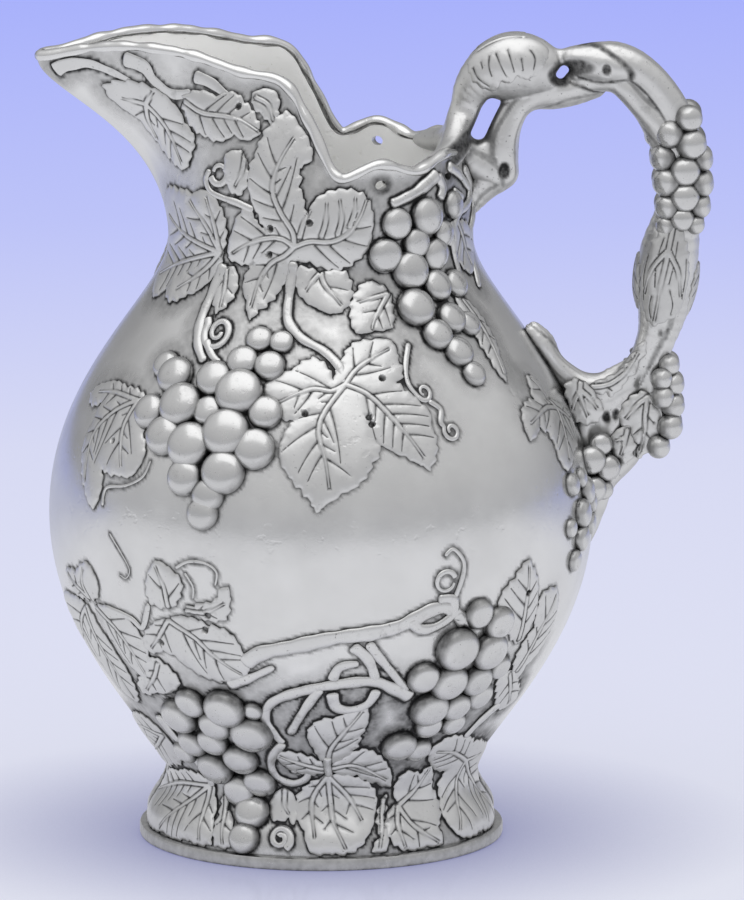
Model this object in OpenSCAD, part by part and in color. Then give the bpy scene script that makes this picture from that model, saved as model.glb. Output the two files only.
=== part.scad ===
// Footed metal ewer with a long pouring lip, a vine-branch handle and applied grape-and-leaf ornament.
// Millimetres. Origin: centre of the ring that the foot stands on. +Z up, lip to -X, handle to +X.

/* [Foot] */
// Radius of the plain band that the ewer stands on
foot_r = 57; // [53:0.5:66]
// Height of that band
foot_band_h = 4; // [2:0.5:7]
// Width of the ring that touches the table
foot_ring_w = 7; // [4:0.5:12]
// Radius of the foot just above its band
foot_flare_r = 54.5; // [50:0.5:56.5]
// Radius of the waist between foot and bowl
waist_r = 48.5; // [42:0.5:54]
// Height of the waist above the table
waist_z = 22; // [16:0.5:28]

/* [Bowl] */
// Radius of the bowl at its widest
belly_r = 85; // [76:0.5:94]
// Height of the widest point, where the two halves of the bowl are joined
belly_z = 103; // [92:0.5:114]
// How steeply the bowl leaves the waist: length of the curve's pull
waist_pull = 11; // [6:0.5:20]
// How full the bowl is below its widest point: length of the curve's pull
bowl_pull = 42; // [30:1:55]
// How full the shoulder is above the widest point: length of the curve's pull
shoulder_pull = 45; // [30:1:55]
// How gently the shoulder runs into the neck: length of the curve's pull
neck_pull = 18; // [8:1:30]
// Wall of the foot, bowl and neck
wall = 3; // [2:0.25:4]
// Thickness of the bowl's floor
floor_t = 4; // [3:0.5:8]

/* [Neck and lip] */
// Radius of the neck at its narrowest, where it is joined to the shoulder
neck_r = 47.5; // [42:0.5:53]
// Height of that joint
neck_z = 190; // [180:0.5:200]
// Height of the low scalloped rim above the neck joint
rim_low_h = 25; // [18:0.5:34]
// Radius of the low rim
rim_low_r = 45; // [40:0.5:50]
// Height of each scallop on the low rim
scallop_h = 3.5; // [0:0.25:6]
// Height of the raised rim's shoulder above the neck joint
rim_shoulder_h = 53; // [44:0.5:60]
// Radius of the raised rim's shoulder
rim_shoulder_r = 38.5; // [34:0.5:44]
// Height of the lip's crest above the neck joint
lip_crest_h = 61; // [50:0.5:70]
// Distance of the lip's crest from the axis
lip_crest_r = 65; // [58:0.5:72]
// Height of the lip's tip above the neck joint
lip_tip_h = 56; // [46:0.5:66]
// Distance of the lip's tip from the axis
lip_reach = 88; // [78:0.5:98]
// Radius of the bead along the rim
bead_r = 1.7; // [1:0.1:2.5]
// Radius of the pierced holes under the low rim
pierce_r = 1.6; // [0.8:0.1:2.4]

/* [Handle] */
// Furthest distance of the branch's centreline from the axis
handle_reach = 112; // [104:0.5:122]
// Height of the thumb knob's centre above the neck joint
handle_rise = 53.5; // [48:0.5:64]
// Radius of the thumb knob
knob_r = 7.4; // [5.5:0.25:8.5]
// Radius of the branch along its top
branch_r = 5.6; // [4.5:0.1:6.5]
// Radius of the branch where the bunch and the wrapped leaf sit on it
grip_r = 5; // [4:0.1:5.6]
// Radius of the branch at its lower fork
fork_r = 3.6; // [3:0.1:4.2]
// Radius of the foot of the branch on the bowl
root_r = 6.5; // [5:0.25:8]
// Height at which the branch meets the bowl
root_z = 137; // [128:0.5:146]
// Radius of the thin inner branch
inner_r = 3; // [2.5:0.1:3.8]
// Thickness of the leaves wrapped round the branch
wrap_t = 2.6; // [1.5:0.1:3.5]
// Radius of the grapes on the handle
handle_grape_r = 4.4; // [3.5:0.1:5]

/* [Ornament] */
// Thickness of an applied leaf at its heart
leaf_t = 2.2; // [1.2:0.1:3.2]
// Thickness of an applied leaf at its edge
leaf_edge_t = 1.4; // [0.8:0.1:2]
// Depth of the notches between a leaf's lobes, as a share of its reach
leaf_notch = 0.45; // [0.2:0.05:0.6]
// Half the width of an applied vine
vine_w = 1.7; // [1:0.1:2.4]
// Height of an applied vine
vine_h = 2.2; // [1.2:0.1:3]
// Half the width of a tendril
tendril_w = 0.9; // [0.6:0.1:1.3]
// Height of a tendril
tendril_h = 1.3; // [0.8:0.1:1.8]
// Height of a grape's centre above the skin, as a share of its radius
grape_lift = 0.35; // [0:0.05:0.6]
// Gap between an applied piece and what carries it
seat_gap = 0.3; // [0.1:0.05:0.5]
// Gap under a grape's flat seat, wider because the skin is hollow at the neck and waist
grape_gap = 0.7; // [0.5:0.05:0.9]

/* [Hidden] */
$fn = 64;
leaf_spokes = 36;
// furthest that two rings of a leaf's points lie apart
leaf_ring_step = 12;
branch_sides = 12;
bead_sides = 6;
curve_steps = 14;
lip_rows = 9;
spline_steps = 4;
vine_steps = 3;
// grapes of the fork's bunch are a little smaller than those on the grip
fork_grape_r = 0.86 * handle_grape_r;
// extra fullness of the lip's underside near its tip
lip_swell = 2;
// angles of the pierced holes from the handle, and their depth below the low rim
pierce_turns = [66, 30];
pierce_drop = 2.5;
// the smallest cosine used where the lip's wall runs nearly along a radius
wall_slant_limit = 0.5;
metal = [0.78, 0.78, 0.77];
bright = [0.86, 0.86, 0.85];
leaf_grey = [0.70, 0.71, 0.70];
vine_grey = [0.62, 0.62, 0.61];

SIDE_PIECES = [
  "spout_leaf", "lip_leaf", "neck_leaf", "throat_leaf", "shoulder_leaf", "bunch_leaf", "collar_leaf",
  "heel_leaf", "outer_leaf", "lower_leaf", "flank_leaf", "foot_leaf", "foot_side_leaf", "foot_heel_leaf",
  "root_leaf", "fork_leaf", "shoulder_bunch", "neck_bunch", "lower_bunch", "flank_bunch", "root_bunch",
  "upper_vines", "lower_vines", "tendrils"
];
MAIN_PIECES = [
  "foot", "lower_bowl", "shoulder", "neck_lip", "rim_bead", "handle_branch", "handle_inner_branch",
  "thumb_leaf", "handle_bunch", "handle_leaf_wrap", "fork_bunch"
];

// Plain vector and curve helpers

function unit(v) = v / norm(v);
function degrees_of(arc, r) = arc / r * 180 / PI;
function bezier(p, t) = pow(1 - t, 3) * p[0] + 3 * pow(1 - t, 2) * t * p[1]
  + 3 * (1 - t) * t * t * p[2] + pow(t, 3) * p[3];
function curve(p) = [for (i = [0:curve_steps]) bezier(p, i / curve_steps)];
function tail(list) = [for (i = [1:len(list) - 1]) list[i]];
function average(list, i = 0) = i == len(list) ? 0 * list[0] : list[i] / len(list) + average(list, i + 1);

// One point of a smooth curve through four neighbours
function between(a, b, c, d, t) = 0.5 * (2 * b + (c - a) * t + (2 * a - 5 * b + 4 * c - d) * t * t
  + (3 * b - a - 3 * c + d) * t * t * t);

// A smooth open curve through the points
function smooth(p, steps = spline_steps) = let (n = len(p)) concat(
  [for (k = [0:n - 2]) for (j = [0:steps - 1])
    between(p[max(k - 1, 0)], p[k], p[k + 1], p[min(k + 2, n - 1)], j / steps)],
  [p[n - 1]]);

// A smooth closed curve through the points
function smooth_loop(p, steps = spline_steps) = let (n = len(p))
  [for (k = [0:n - 1]) for (j = [0:steps - 1])
    between(p[(k + n - 1) % n], p[k], p[(k + 1) % n], p[(k + 2) % n], j / steps)];

function direction(p, i) = unit(p[min(i + 1, len(p) - 1)] - p[max(i - 1, 0)]);
function loop_direction(p, i) = let (n = len(p)) unit(p[(i + 1) % n] - p[(i + n - 1) % n]);

// Profile of foot and bowl as [radius, height]

foot_curve = curve([[foot_flare_r, foot_band_h], [foot_flare_r, (foot_band_h + waist_z) / 2],
  [waist_r, (foot_band_h + waist_z) / 2], [waist_r, waist_z]]);
bowl_curve = curve([[waist_r, waist_z], [waist_r + 1.5, waist_z + waist_pull],
  [belly_r, belly_z - bowl_pull], [belly_r, belly_z]]);
shoulder_curve = curve([[belly_r, belly_z], [belly_r, belly_z + shoulder_pull],
  [neck_r, neck_z - neck_pull], [neck_r, neck_z]]);
skin_curve = concat(foot_curve, tail(bowl_curve), tail(shoulder_curve));

// Length along the skin from the foot's band up to each point of the profile
skin_run = [for (i = 0, s = 0; i < len(skin_curve);
  s = i + 1 < len(skin_curve) ? s + norm(skin_curve[i + 1] - skin_curve[i]) : s, i = i + 1) s];
r_at_z = [for (p = skin_curve) [p[1], p[0]]];
run_at_z = [for (i = [0:len(skin_curve) - 1]) [skin_curve[i][1], skin_run[i]]];
z_at_run = [for (i = [0:len(skin_curve) - 1]) [skin_run[i], skin_curve[i][1]]];
neck_run = skin_run[len(skin_run) - 1];

// Rim, as [angle from the handle, radius, height], from the handle round to the lip's tip

low_z = neck_z + rim_low_h;
high_z = neck_z + rim_shoulder_h;
crest_z = neck_z + lip_crest_h;
tip_z = neck_z + lip_tip_h;
function blend(a, b, share) = a + (b - a) * share;
rim_half = [
  [0, rim_low_r, low_z],
  [28, rim_low_r, low_z + scallop_h],
  [48, rim_low_r, low_z],
  [66, rim_low_r + 1, low_z + scallop_h],
  [83, rim_low_r, low_z],
  [95, blend(rim_low_r, rim_shoulder_r, 0.65), blend(low_z, high_z, 0.55)],
  [108, rim_shoulder_r, high_z],
  [128, rim_shoulder_r + 2.5, blend(high_z, crest_z, 0.35)],
  [147, blend(rim_shoulder_r, lip_crest_r, 0.3), blend(high_z, crest_z, 0.8)],
  [158, blend(rim_shoulder_r, lip_crest_r, 0.6), crest_z],
  [168, lip_crest_r, crest_z],
  [175, blend(lip_crest_r, lip_reach, 0.5), blend(crest_z, tip_z, 0.4)],
  [180, lip_reach, tip_z]
];
function polar(a, r, z) = [r * cos(a), r * sin(a), z];
rim_stations = concat(
  [for (p = rim_half) polar(p[0], p[1], p[2])],
  [for (i = [len(rim_half) - 2:-1:1]) polar(-rim_half[i][0], rim_half[i][1], rim_half[i][2])]);
rim = smooth_loop(rim_stations);
half_rim = [for (i = [0:len(rim) / 2]) rim[i]];
function turn_of(p) = abs(atan2(p[1], p[0]));
rim_r_at = [for (p = half_rim) [turn_of(p), norm([p[0], p[1]])]];
rim_z_at = [for (p = half_rim) [turn_of(p), p[2]]];

// Skin of the whole vessel. turn is the angle from the handle, 0 to 180, the same on both sides.

function lip_ease(v) = v * v * (1 + lip_swell * pow(v, 4) * (1 - v));
function neck_skin_r(turn, z) = let (top = lookup(turn, rim_z_at), v = (z - neck_z) / (top - neck_z))
  neck_r + (lookup(turn, rim_r_at) - neck_r) * lip_ease(v);
function skin_r(turn, z) = z <= neck_z ? lookup(z, r_at_z) : neck_skin_r(turn, z);
function run_of(z) = z <= neck_z ? lookup(z, run_at_z) : neck_run + z - neck_z;
function z_of(run) = run <= neck_run ? lookup(run, z_at_run) : neck_z + run - neck_run;

// A point of the skin. around is degrees from the front (-Y) towards the handle.
function skin_point(around, run) = let (turn = 90 - around,
  z = min(z_of(run), lookup(turn, rim_z_at) - seat_gap), r = skin_r(turn, z))
  [r * sin(around), -r * cos(around), z];
function skin_normal(around, run) = let (p = skin_point(around, run), step = 0.4)
  unit(cross(skin_point(around + step, run) - p, p - skin_point(around, run - step)));

// A map from millimetres round and up the skin, and a height off it, to a point in space
function skin_map(around, up) = let (run = run_of(up))
  function(x, y, h) let (a = around + degrees_of(x, skin_r(90 - around, z_of(run + y))))
    skin_point(a, run + y) + h * skin_normal(a, run + y);

// A map for a leaf that lies in an upright plane beside the handle
function plane_map(x0, y0, z0) = function(x, y, h) [x0 + x, y0 - h, z0 + y];

// Solids from rings of points, with a tip at each end

module loft(rows, tip_a, tip_b) {
  n = len(rows[0]);
  m = len(rows);
  points = concat([for (row = rows) for (p = row) p], [tip_a, tip_b]);
  sides = [for (i = [0:m - 2]) for (j = [0:n - 1]) let (k = (j + 1) % n) each
    [[i * n + j, (i + 1) * n + k, i * n + k], [i * n + j, (i + 1) * n + j, (i + 1) * n + k]]];
  start = [for (j = [0:n - 1]) [m * n, j, (j + 1) % n]];
  end = [for (j = [0:n - 1]) [m * n + 1, (m - 1) * n + (j + 1) % n, (m - 1) * n + j]];
  polyhedron(points, concat(sides, start, end), convexity = 8);
}

module closed_loft(rows) {
  n = len(rows[0]);
  m = len(rows);
  polyhedron([for (row = rows) for (p = row) p],
    [for (i = [0:m - 1]) for (j = [0:n - 1]) let (k = (j + 1) % n, i2 = (i + 1) % m) each
      [[i * n + j, i2 * n + k, i * n + k], [i * n + j, i2 * n + j, i2 * n + k]]], convexity = 8);
}

module tube(rows) {
  loft(rows, average(rows[0]), average(rows[len(rows) - 1]));
}

// Leaves. lobes are [direction in degrees, reach], with 0 to the handle's side and 90 up the skin.

function lobe_after(lobes, a, i = 0) = i == len(lobes) ? 0 : lobes[i][0] > a ? i
  : lobe_after(lobes, a, i + 1);
function leaf_reach(lobes, a) = let (
  i = lobe_after(lobes, a),
  next = lobes[i],
  last = lobes[(i + len(lobes) - 1) % len(lobes)],
  gap = (next[0] - last[0] + 359.9) % 360 + 0.1,
  t = ((a - last[0] + 720) % 360) / gap)
  blend(last[1], next[1], t) * (1 - leaf_notch * min(1, gap / 70) * pow(sin(180 * min(t, 1)), 1.2));

module leaf(map, lobes) {
  angles = [for (j = [0:leaf_spokes - 1]) -180 + j * 360 / leaf_spokes];
  outline = [for (a = angles) leaf_reach(lobes, a) * [cos(a), sin(a)]];
  steps = max(2, ceil(max([for (l = lobes) l[1]]) / leaf_ring_step));
  function ring(k, h) = [for (p = outline) map(p[0] * k / steps, p[1] * k / steps, h)];
  loft(concat(
      [for (k = [1:steps]) ring(k, seat_gap)],
      [ring(steps, seat_gap + leaf_edge_t)],
      [for (k = [steps - 1:-1:1]) ring(k, seat_gap + leaf_t)]),
    map(0, 0, seat_gap), map(0, 0, seat_gap + leaf_t));
}

// Grapes. Each is the part of a ball that stands off a flat seat.

module grape(centre, normal, r, lift = grape_lift) {
  translate(centre) rotate([0, acos(normal[2]), atan2(normal[1], normal[0])]) intersection() {
    translate([0, 0, grape_gap + lift * r]) sphere(r);
    translate([-2 * r, -2 * r, grape_gap]) cube(4 * r);
  }
}

// A bunch on the skin, its grapes as [round, up, radius] from its middle
module bunch(around, up, grapes) {
  run = run_of(up);
  for (g = grapes) {
    a = around + degrees_of(g[0], skin_r(90 - around, z_of(run + g[1])));
    grape(skin_point(a, run + g[1]), skin_normal(a, run + g[1]), g[2]);
  }
}

// A vine or tendril on the skin through points given as [around, up], thinner towards its end

module vine(route, w = vine_w, h = vine_h, end_share = 0.6) {
  path = smooth([for (p = route) [p[0], run_of(p[1])]], vine_steps);
  centre = [for (p = path) skin_point(p[0], p[1])];
  last = len(path) - 1;
  tube([for (i = [0:last]) let (
      share = blend(1, end_share, i / last),
      n = skin_normal(path[i][0], path[i][1]),
      t = direction(centre, i),
      side = unit(cross(t, n)))
    [for (q = [[h, 0], [0.7 * h, 0.75 * w], [0, w], [0, -w], [0.7 * h, -0.75 * w]])
      centre[i] + n * (seat_gap + q[0] * share) + side * q[1] * share]]);
}

// Points of a flat curl on the skin, from its rim inwards
function curl(around, up, r, start, sweep) = [for (k = [0:6]) let (a = start + sweep * k / 6,
  rr = r * (1 - 0.55 * k / 6))
  [around + degrees_of(rr * cos(a), skin_r(90 - around, up)), up + rr * sin(a)]];

// Body

module foot() {
  color(metal) rotate_extrude() polygon(concat(
    [[foot_r - foot_ring_w, 0], [foot_r, 0], [foot_r, foot_band_h]],
    foot_curve,
    [[waist_r - wall, waist_z], [foot_flare_r - wall, foot_band_h]]));
}

module lower_bowl() {
  inner = [for (p = bowl_curve) if (p[1] > waist_z + floor_t) [p[0] - wall, p[1]]];
  floor_r = lookup(waist_z + floor_t, r_at_z) - wall;
  color(metal) rotate_extrude() polygon(concat(
    [[0, waist_z]], bowl_curve, [for (i = [len(inner) - 1:-1:0]) inner[i]],
    [[floor_r, waist_z + floor_t], [0, waist_z + floor_t]]));
}

module shoulder() {
  color(metal) rotate_extrude() polygon(concat(
    shoulder_curve,
    [for (i = [len(shoulder_curve) - 1:-1:0]) [shoulder_curve[i][0] - wall, shoulder_curve[i][1]]]));
}

// How much longer the wall is along the radius than across it, at one point of the rim
function wall_slant(i) = let (t = loop_direction(rim, i), u = unit([rim[i][0], rim[i][1]]))
  1 / max(wall_slant_limit, abs(t[1] * u[0] - t[0] * u[1]) / norm([t[0], t[1]]));
function lip_point(i, v, inset) = let (p = rim[i], a = atan2(p[1], p[0]), r = norm([p[0], p[1]]),
  depth = inset * wall * blend(1, wall_slant(i), lip_ease(v)))
  polar(a, neck_r + (r - neck_r) * lip_ease(v) - depth, blend(neck_z, p[2], v));
function lip_ring(v, inset) = [for (i = [0:len(rim) - 1]) lip_point(i, v, inset)];

module neck_lip() {
  color(metal) difference() {
    closed_loft(concat(
      [for (k = [0:lip_rows]) lip_ring(k / lip_rows, 0)],
      [for (k = [lip_rows:-1:0]) lip_ring(k / lip_rows, 1)]));
    for (a = pierce_turns, side = [-1, 1])
      rotate([0, 0, side * a]) translate([rim_low_r, 0, low_z - pierce_drop]) rotate([0, 90, 0])
        cylinder(r = pierce_r, h = 6 * wall, center = true);
  }
}

module rim_bead() {
  middle = [for (i = [0:len(rim) - 1]) lip_point(i, 1, 0.5)];
  color(bright) closed_loft([for (i = [0:len(rim) - 1]) let (
      t = loop_direction(middle, i),
      up = unit([0, 0, 1] - t[2] * t),
      side = cross(t, up),
      centre = middle[i] + up * (bead_r + seat_gap / 3))
    [for (j = [0:bead_sides - 1]) let (a = j * 360 / bead_sides)
      centre + bead_r * (cos(a) * up + sin(a) * side)]]);
}

// Handle. Stations are [x, z, radius] along the branch's centreline, in the plane y = 0.

knob_z = neck_z + handle_rise;
root_x = lookup(root_z, r_at_z);
root_out = let (n = skin_normal(90, run_of(root_z))) [n[0], n[2]];
function root_station(off, r) = [root_x + root_out[0] * off, root_z + root_out[1] * off, r];
rim_seat_z = low_z + 2 * bead_r + 2 * seat_gap;
arm_x = rim_low_r + 23;
elbow_x = handle_reach - 12;
dip = [blend(arm_x, elbow_x, 0.33), knob_z - 2, branch_r - 0.6];
hump = [blend(arm_x, elbow_x, 0.66), knob_z + 0.9, branch_r + 1.2];
elbow = [elbow_x - 1, knob_z - 4, branch_r + 1.8];
arm = [arm_x, knob_z - 1.5, knob_r - 0.6];
branch = [
  [rim_low_r - wall / 2, rim_seat_z, 4.6],
  [rim_low_r - 2, blend(rim_seat_z, knob_z, 0.45), 5],
  [rim_low_r + 3.5, knob_z - 5, knob_r - 1],
  [rim_low_r + 12.5, knob_z, knob_r],
  arm,
  dip,
  hump,
  elbow,
  [handle_reach - 4.5, knob_z - 14.5, branch_r + 1.4],
  [handle_reach, knob_z - 27.5, grip_r + 0.4],
  [handle_reach, knob_z - 40.5, grip_r],
  [handle_reach - 1.5, knob_z - 52.5, grip_r + 0.6],
  [handle_reach - 4.5, blend(knob_z - 52.5, root_z + 22, 0.42), grip_r + 2],
  [handle_reach - 7, root_z + 22, fork_r + 1.6],
  [handle_reach - 11, root_z + 11, fork_r + 0.4],
  [blend(handle_reach - 11, root_station(8, 0)[0], 0.45), blend(root_z + 11, root_z + 4, 0.7), fork_r],
  root_station(8, fork_r + 1),
  root_station(seat_gap, root_r)
];

// Rings of points round a centreline given as [x, z, radius], spanning an angle measured from outside
function branch_frame(path, i) = let (t = direction([for (p = path) [p[0], 0, p[1]]], i))
  [[path[i][0], 0, path[i][1]], [-t[2], 0, t[0]], [0, -1, 0]];
function branch_ring(path, i, r, from = 0, to = 360, sides = branch_sides) = let (f = branch_frame(path, i))
  [for (j = [0:sides - 1]) let (a = from + (to - from) * j / (to - from == 360 ? sides : sides - 1))
    f[0] + r * (cos(a) * f[1] + sin(a) * f[2])];
branch_path = smooth(branch);

module branch_tube(path) {
  tube([for (i = [0:len(path) - 1]) branch_ring(path, i, path[i][2])]);
}

// A leaf wrapped round the branch between two stations, wide in the middle and drawn in at its ends
module branch_wrap(first, last, from, to) {
  i0 = first * spline_steps;
  i1 = last * spline_steps;
  tube([for (i = [i0:i1]) let (
      share = sin(180 * (i - i0 + 0.6) / (i1 - i0 + 1.2)),
      mid = (from + to) / 2,
      half = (to - from) / 2 * pow(share, 0.7),
      r = branch_path[i][2] + 2 * seat_gap)
    concat(branch_ring(branch_path, i, r + wrap_t * (0.35 + 0.65 * share), mid - half, mid + half),
      [for (p = [branch_ring(branch_path, i, r, mid - half, mid + half)])
        for (j = [branch_sides - 1:-1:0]) p[j]])]);
}

module handle_branch() {
  color(metal) branch_tube(branch_path);
}

inner_tip_r = 0.6 * inner_r;
// Height at which a strand of radius r at x passes just under the given stations of the main branch
function under(stations, x, r) = min([for (s = stations)
  s[1] - sqrt(max(0, pow(s[2] + r, 2) - pow(s[0] - x, 2)))]);
inner_branch = [
  [lookup(0, rim_r_at) + seat_gap + 1.5, low_z - 6, inner_r - 0.5],
  [rim_low_r + 11.5, low_z - 4, inner_r + 1.1],
  [rim_low_r + 13.3, low_z + 4.5, inner_r + 0.3],
  [rim_low_r + 19, knob_z - 14.5, inner_r + 0.6],
  [dip[0], under([arm, dip, hump], dip[0], inner_r + seat_gap), inner_r],
  [hump[0], under([dip, hump, elbow], hump[0], inner_tip_r + 3 * seat_gap), inner_tip_r]
];

module handle_inner_branch() {
  color(vine_grey) branch_tube(smooth(inner_branch));
}

module thumb_leaf() {
  color(leaf_grey) branch_wrap(2, 4, -80, 80);
}

module handle_leaf_wrap() {
  color(leaf_grey) branch_wrap(11, 13, -20, 320);
}

// Rows of grapes round the branch from its bend down to the wrapped leaf
module handle_bunch() {
  rows = [[8.3, 5], [8.9, 5], [9.5, 5], [10.1, 4], [10.6, 4]];
  color(bright) for (k = [0:len(rows) - 1], j = [0:rows[k][1] - 1]) {
    i = round(rows[k][0] * spline_steps);
    f = branch_frame(branch_path, i);
    a = 360 / rows[k][1] * (j + (k % 2) / 2);
    out = cos(a) * f[1] + sin(a) * f[2];
    grape(f[0] + out * branch_path[i][2], out, handle_grape_r, 0.1);
  }
}

// A bunch that hangs outside the lower fork, its balls as [x from the reach, z from the root, y]
// in radii of a grape
module fork_bunch() {
  balls = [[-0.05, 3.6, 0], [-0.7, 1.9, -1.06], [-0.7, 1.9, 1.06], [0.15, 0.3, 0], [-0.7, -1.3, -1.06],
    [-0.7, -1.3, 1.06], [-0.15, -3, 0], [-0.95, -4.95, 0]] * fork_grape_r;
  color(bright) for (ball = balls)
    translate([handle_reach + ball[0], ball[2], root_z + ball[1]]) sphere(fork_grape_r);
}

// Applied leaves of one side

module spout_leaf() color(leaf_grey)
  leaf(skin_map(-70, 231), [[-120, 15], [-60, 17], [0, 9], [60, 12], [130, 13], [180, 9]]);
module lip_leaf() color(leaf_grey)
  leaf(skin_map(-43, 233), [[-160, 9], [-90, 8], [-20, 15], [40, 9], [110, 9], [160, 14]]);
module neck_leaf() color(leaf_grey)
  leaf(skin_map(-10, 195), [[-160, 13], [-110, 12], [-60, 19], [0, 26], [40, 24], [90, 34], [130, 19],
    [180, 20]]);
module throat_leaf() color(leaf_grey)
  leaf(skin_map(-47, 187), [[-150, 24], [-110, 16], [-40, 10], [60, 15], [110, 17], [150, 20]]);
module shoulder_leaf() color(leaf_grey)
  leaf(skin_map(6, 154), [[-170, 20], [-110, 40], [-50, 36], [40, 17], [110, 8]]);
module bunch_leaf() color(leaf_grey)
  leaf(skin_map(-62, 140), [[-140, 14], [-100, 26], [-60, 14], [90, 13], [150, 17]]);
module collar_leaf() color(leaf_grey)
  leaf(skin_map(16, 175), [[-140, 9], [-80, 9], [30, 7], [110, 7], [160, 8]]);
module heel_leaf() color(leaf_grey)
  leaf(skin_map(56, 166), [[-100, 16], [-50, 9], [80, 13], [130, 8]]);
module outer_leaf() color(leaf_grey)
  leaf(skin_map(-57, 84), [[-120, 20], [-70, 26], [-20, 12], [60, 8], [120, 13], [180, 14]]);
module lower_leaf() color(leaf_grey)
  leaf(skin_map(-28, 86), [[-140, 15], [-70, 20], [-20, 12], [40, 16], [90, 13], [130, 18]]);
module flank_leaf() color(leaf_grey)
  leaf(skin_map(51, 80), [[-70, 14], [0, 15], [40, 18], [90, 19], [130, 11]]);
module foot_leaf() color(leaf_grey)
  leaf(skin_map(3, 31), [[-120, 17], [-80, 22], [-30, 20], [30, 13], [70, 20], [130, 14]]);
module foot_side_leaf() color(leaf_grey)
  leaf(skin_map(52, 25), [[-120, 18], [-60, 20], [20, 17], [80, 14], [150, 14]]);
module foot_heel_leaf() color(leaf_grey)
  leaf(skin_map(-66, 24), [[-130, 20], [-60, 19], [30, 12], [100, 17], [160, 18]]);
module root_leaf() color(leaf_grey)
  leaf(skin_map(66, 136), [[-160, 12], [-90, 20], [-30, 9], [70, 9], [130, 15]]);
// This pair covers the web between the bowl and the bunch outside the fork, so it is as large as that space
fork_span = handle_reach - 2 * fork_grape_r - root_x;
module fork_leaf() color(leaf_grey)
  leaf(plane_map(root_x + 0.737 * fork_span, -fork_r - 0.7, root_z - 0.13 * fork_span),
    [for (lobe = [[-150, 0.26], [-110, 1.05], [-60, 0.55], [0, 0.25], [60, 0.42], [115, 0.42], [180, 0.26]])
      [lobe[0], lobe[1] * fork_span]]);

// Applied bunches of one side

module shoulder_bunch() color(bright) bunch(-26, 142, [[-17.5, 18, 5.6], [-9.5, 8, 6.4], [-4, 18, 5],
  [6.5, 13.5, 6.6], [6.5, 1, 6.8], [-5, -5.5, 6.4], [-20.5, 5, 4.6], [-15.5, -4, 5.2], [7.5, -11.5, 6.2],
  [15.5, -4, 5.4], [15, 7, 4.4], [-3.5, -16.5, 5], [4, -20, 4.4], [1.5, -26.5, 4.4], [3.5, 24, 3.6],
  [9.5, 28, 3.4]]);
module neck_bunch() color(bright) bunch(38, 181, [[3, 22, 5.2], [12.5, 23, 4], [-6, 21.5, 4.4],
  [-9.5, 13, 4.4], [-3.5, 7, 5.4], [5.5, 12, 4.4], [5, 1, 5], [-4, -5, 5], [0, -14, 4.2], [6.5, -9, 4.2],
  [4, -21, 4], [5.5, -28.5, 3.2]]);
module lower_bunch() color(bright) bunch(-30, 39, [[-2.5, 20, 4.6], [7.5, 19, 5], [-9, 12, 4.6],
  [0.5, 10.5, 4.6], [10.5, 8, 5], [-4, 1, 4.6], [-13, 3, 4], [5.5, -3, 4.6], [-4, -9, 4.6],
  [-1.5, -18, 4.6], [6, -12.5, 4.2], [4, -25, 3.6]]);
module flank_bunch() color(bright) bunch(33, 62.5, [[-5, 13, 5.6], [7.5, 10, 4.8], [2, 21.5, 3.4],
  [9.5, 18.5, 3.6], [0.5, 2, 5], [-9.5, 4, 3.8], [10, 0.5, 3.8], [-6.5, -6.5, 5], [3.5, -8.5, 4],
  [10.5, -8.5, 3.8], [-1.5, -15.5, 3.6], [-7.5, -20.5, 3.8]]);
module root_bunch() color(bright) bunch(76, 106, [[8, 16, 4.2], [1.5, 14, 3.8], [6, 8.5, 3.8],
  [-0.5, 6, 3.8], [3.5, 1, 3.6], [-2.5, -2, 3.4], [1.5, -6.5, 3.2], [-2, -10.5, 3], [-1, -16, 2.6]]);

// Applied vines and tendrils of one side

module upper_vines() color(vine_grey) {
  vine([[-9.5, 178], [-10, 173.5], [-6, 169], [1, 165], [5, 162.5]]);
  vine([[-30, 184], [-31, 178], [-29.5, 172]]);
  vine([[24.5, 206], [31, 209], [40, 210.5]]);
  vine([[-32, 216], [-31, 211], [-29.5, 206]], tendril_w, tendril_h);
}

module lower_vines() color(vine_grey) {
  vine([[-13, 74], [-6, 77], [2, 79.5], [11, 82], [19, 85], [25, 87.5]], end_share = 1);
  vine([[20.5, 56], [12, 60.5], [3, 60.5], [-7, 59.5], [-12, 54], [-11, 48]]);
  vine([[12, 78.5], [14, 72], [18, 67], [20.5, 62]], tendril_w * 1.4, tendril_h * 1.3);
}

module tendrils() color(vine_grey) {
  vine(concat([[26, 94]], curl(27, 100, 4, -120, 330)), tendril_w, tendril_h);
  vine([[24, 163], [22.5, 157], [25, 151], [29, 146]], tendril_w, tendril_h);
  vine(concat([[29.5, 142.5]], curl(31, 138.5, 3.2, 120, -330)), tendril_w, tendril_h);
  vine([[-49, 108], [-46, 104], [-45.5, 98]], tendril_w, tendril_h);
  vine(curl(-37, 222, 4.2, -60, 330), tendril_w, tendril_h);
  vine(curl(-23.5, 173, 3.6, -200, 330), tendril_w, tendril_h);
  vine(curl(-16, 34, 3.6, 30, 330), tendril_w, tendril_h);
}

// Every piece in its place

foot();
lower_bowl();
shoulder();
neck_lip();
rim_bead();
handle_branch();
handle_inner_branch();
thumb_leaf();
handle_bunch();
handle_leaf_wrap();
fork_bunch();

for (side = ["front", "back"]) mirror([0, side == "back" ? 1 : 0, 0]) {
  spout_leaf();
  lip_leaf();
  neck_leaf();
  throat_leaf();
  shoulder_leaf();
  bunch_leaf();
  collar_leaf();
  heel_leaf();
  outer_leaf();
  lower_leaf();
  flank_leaf();
  foot_leaf();
  foot_side_leaf();
  foot_heel_leaf();
  root_leaf();
  fork_leaf();
  shoulder_bunch();
  neck_bunch();
  lower_bunch();
  flank_bunch();
  root_bunch();
  upper_vines();
  lower_vines();
  tendrils();
}
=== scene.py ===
import math

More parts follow.
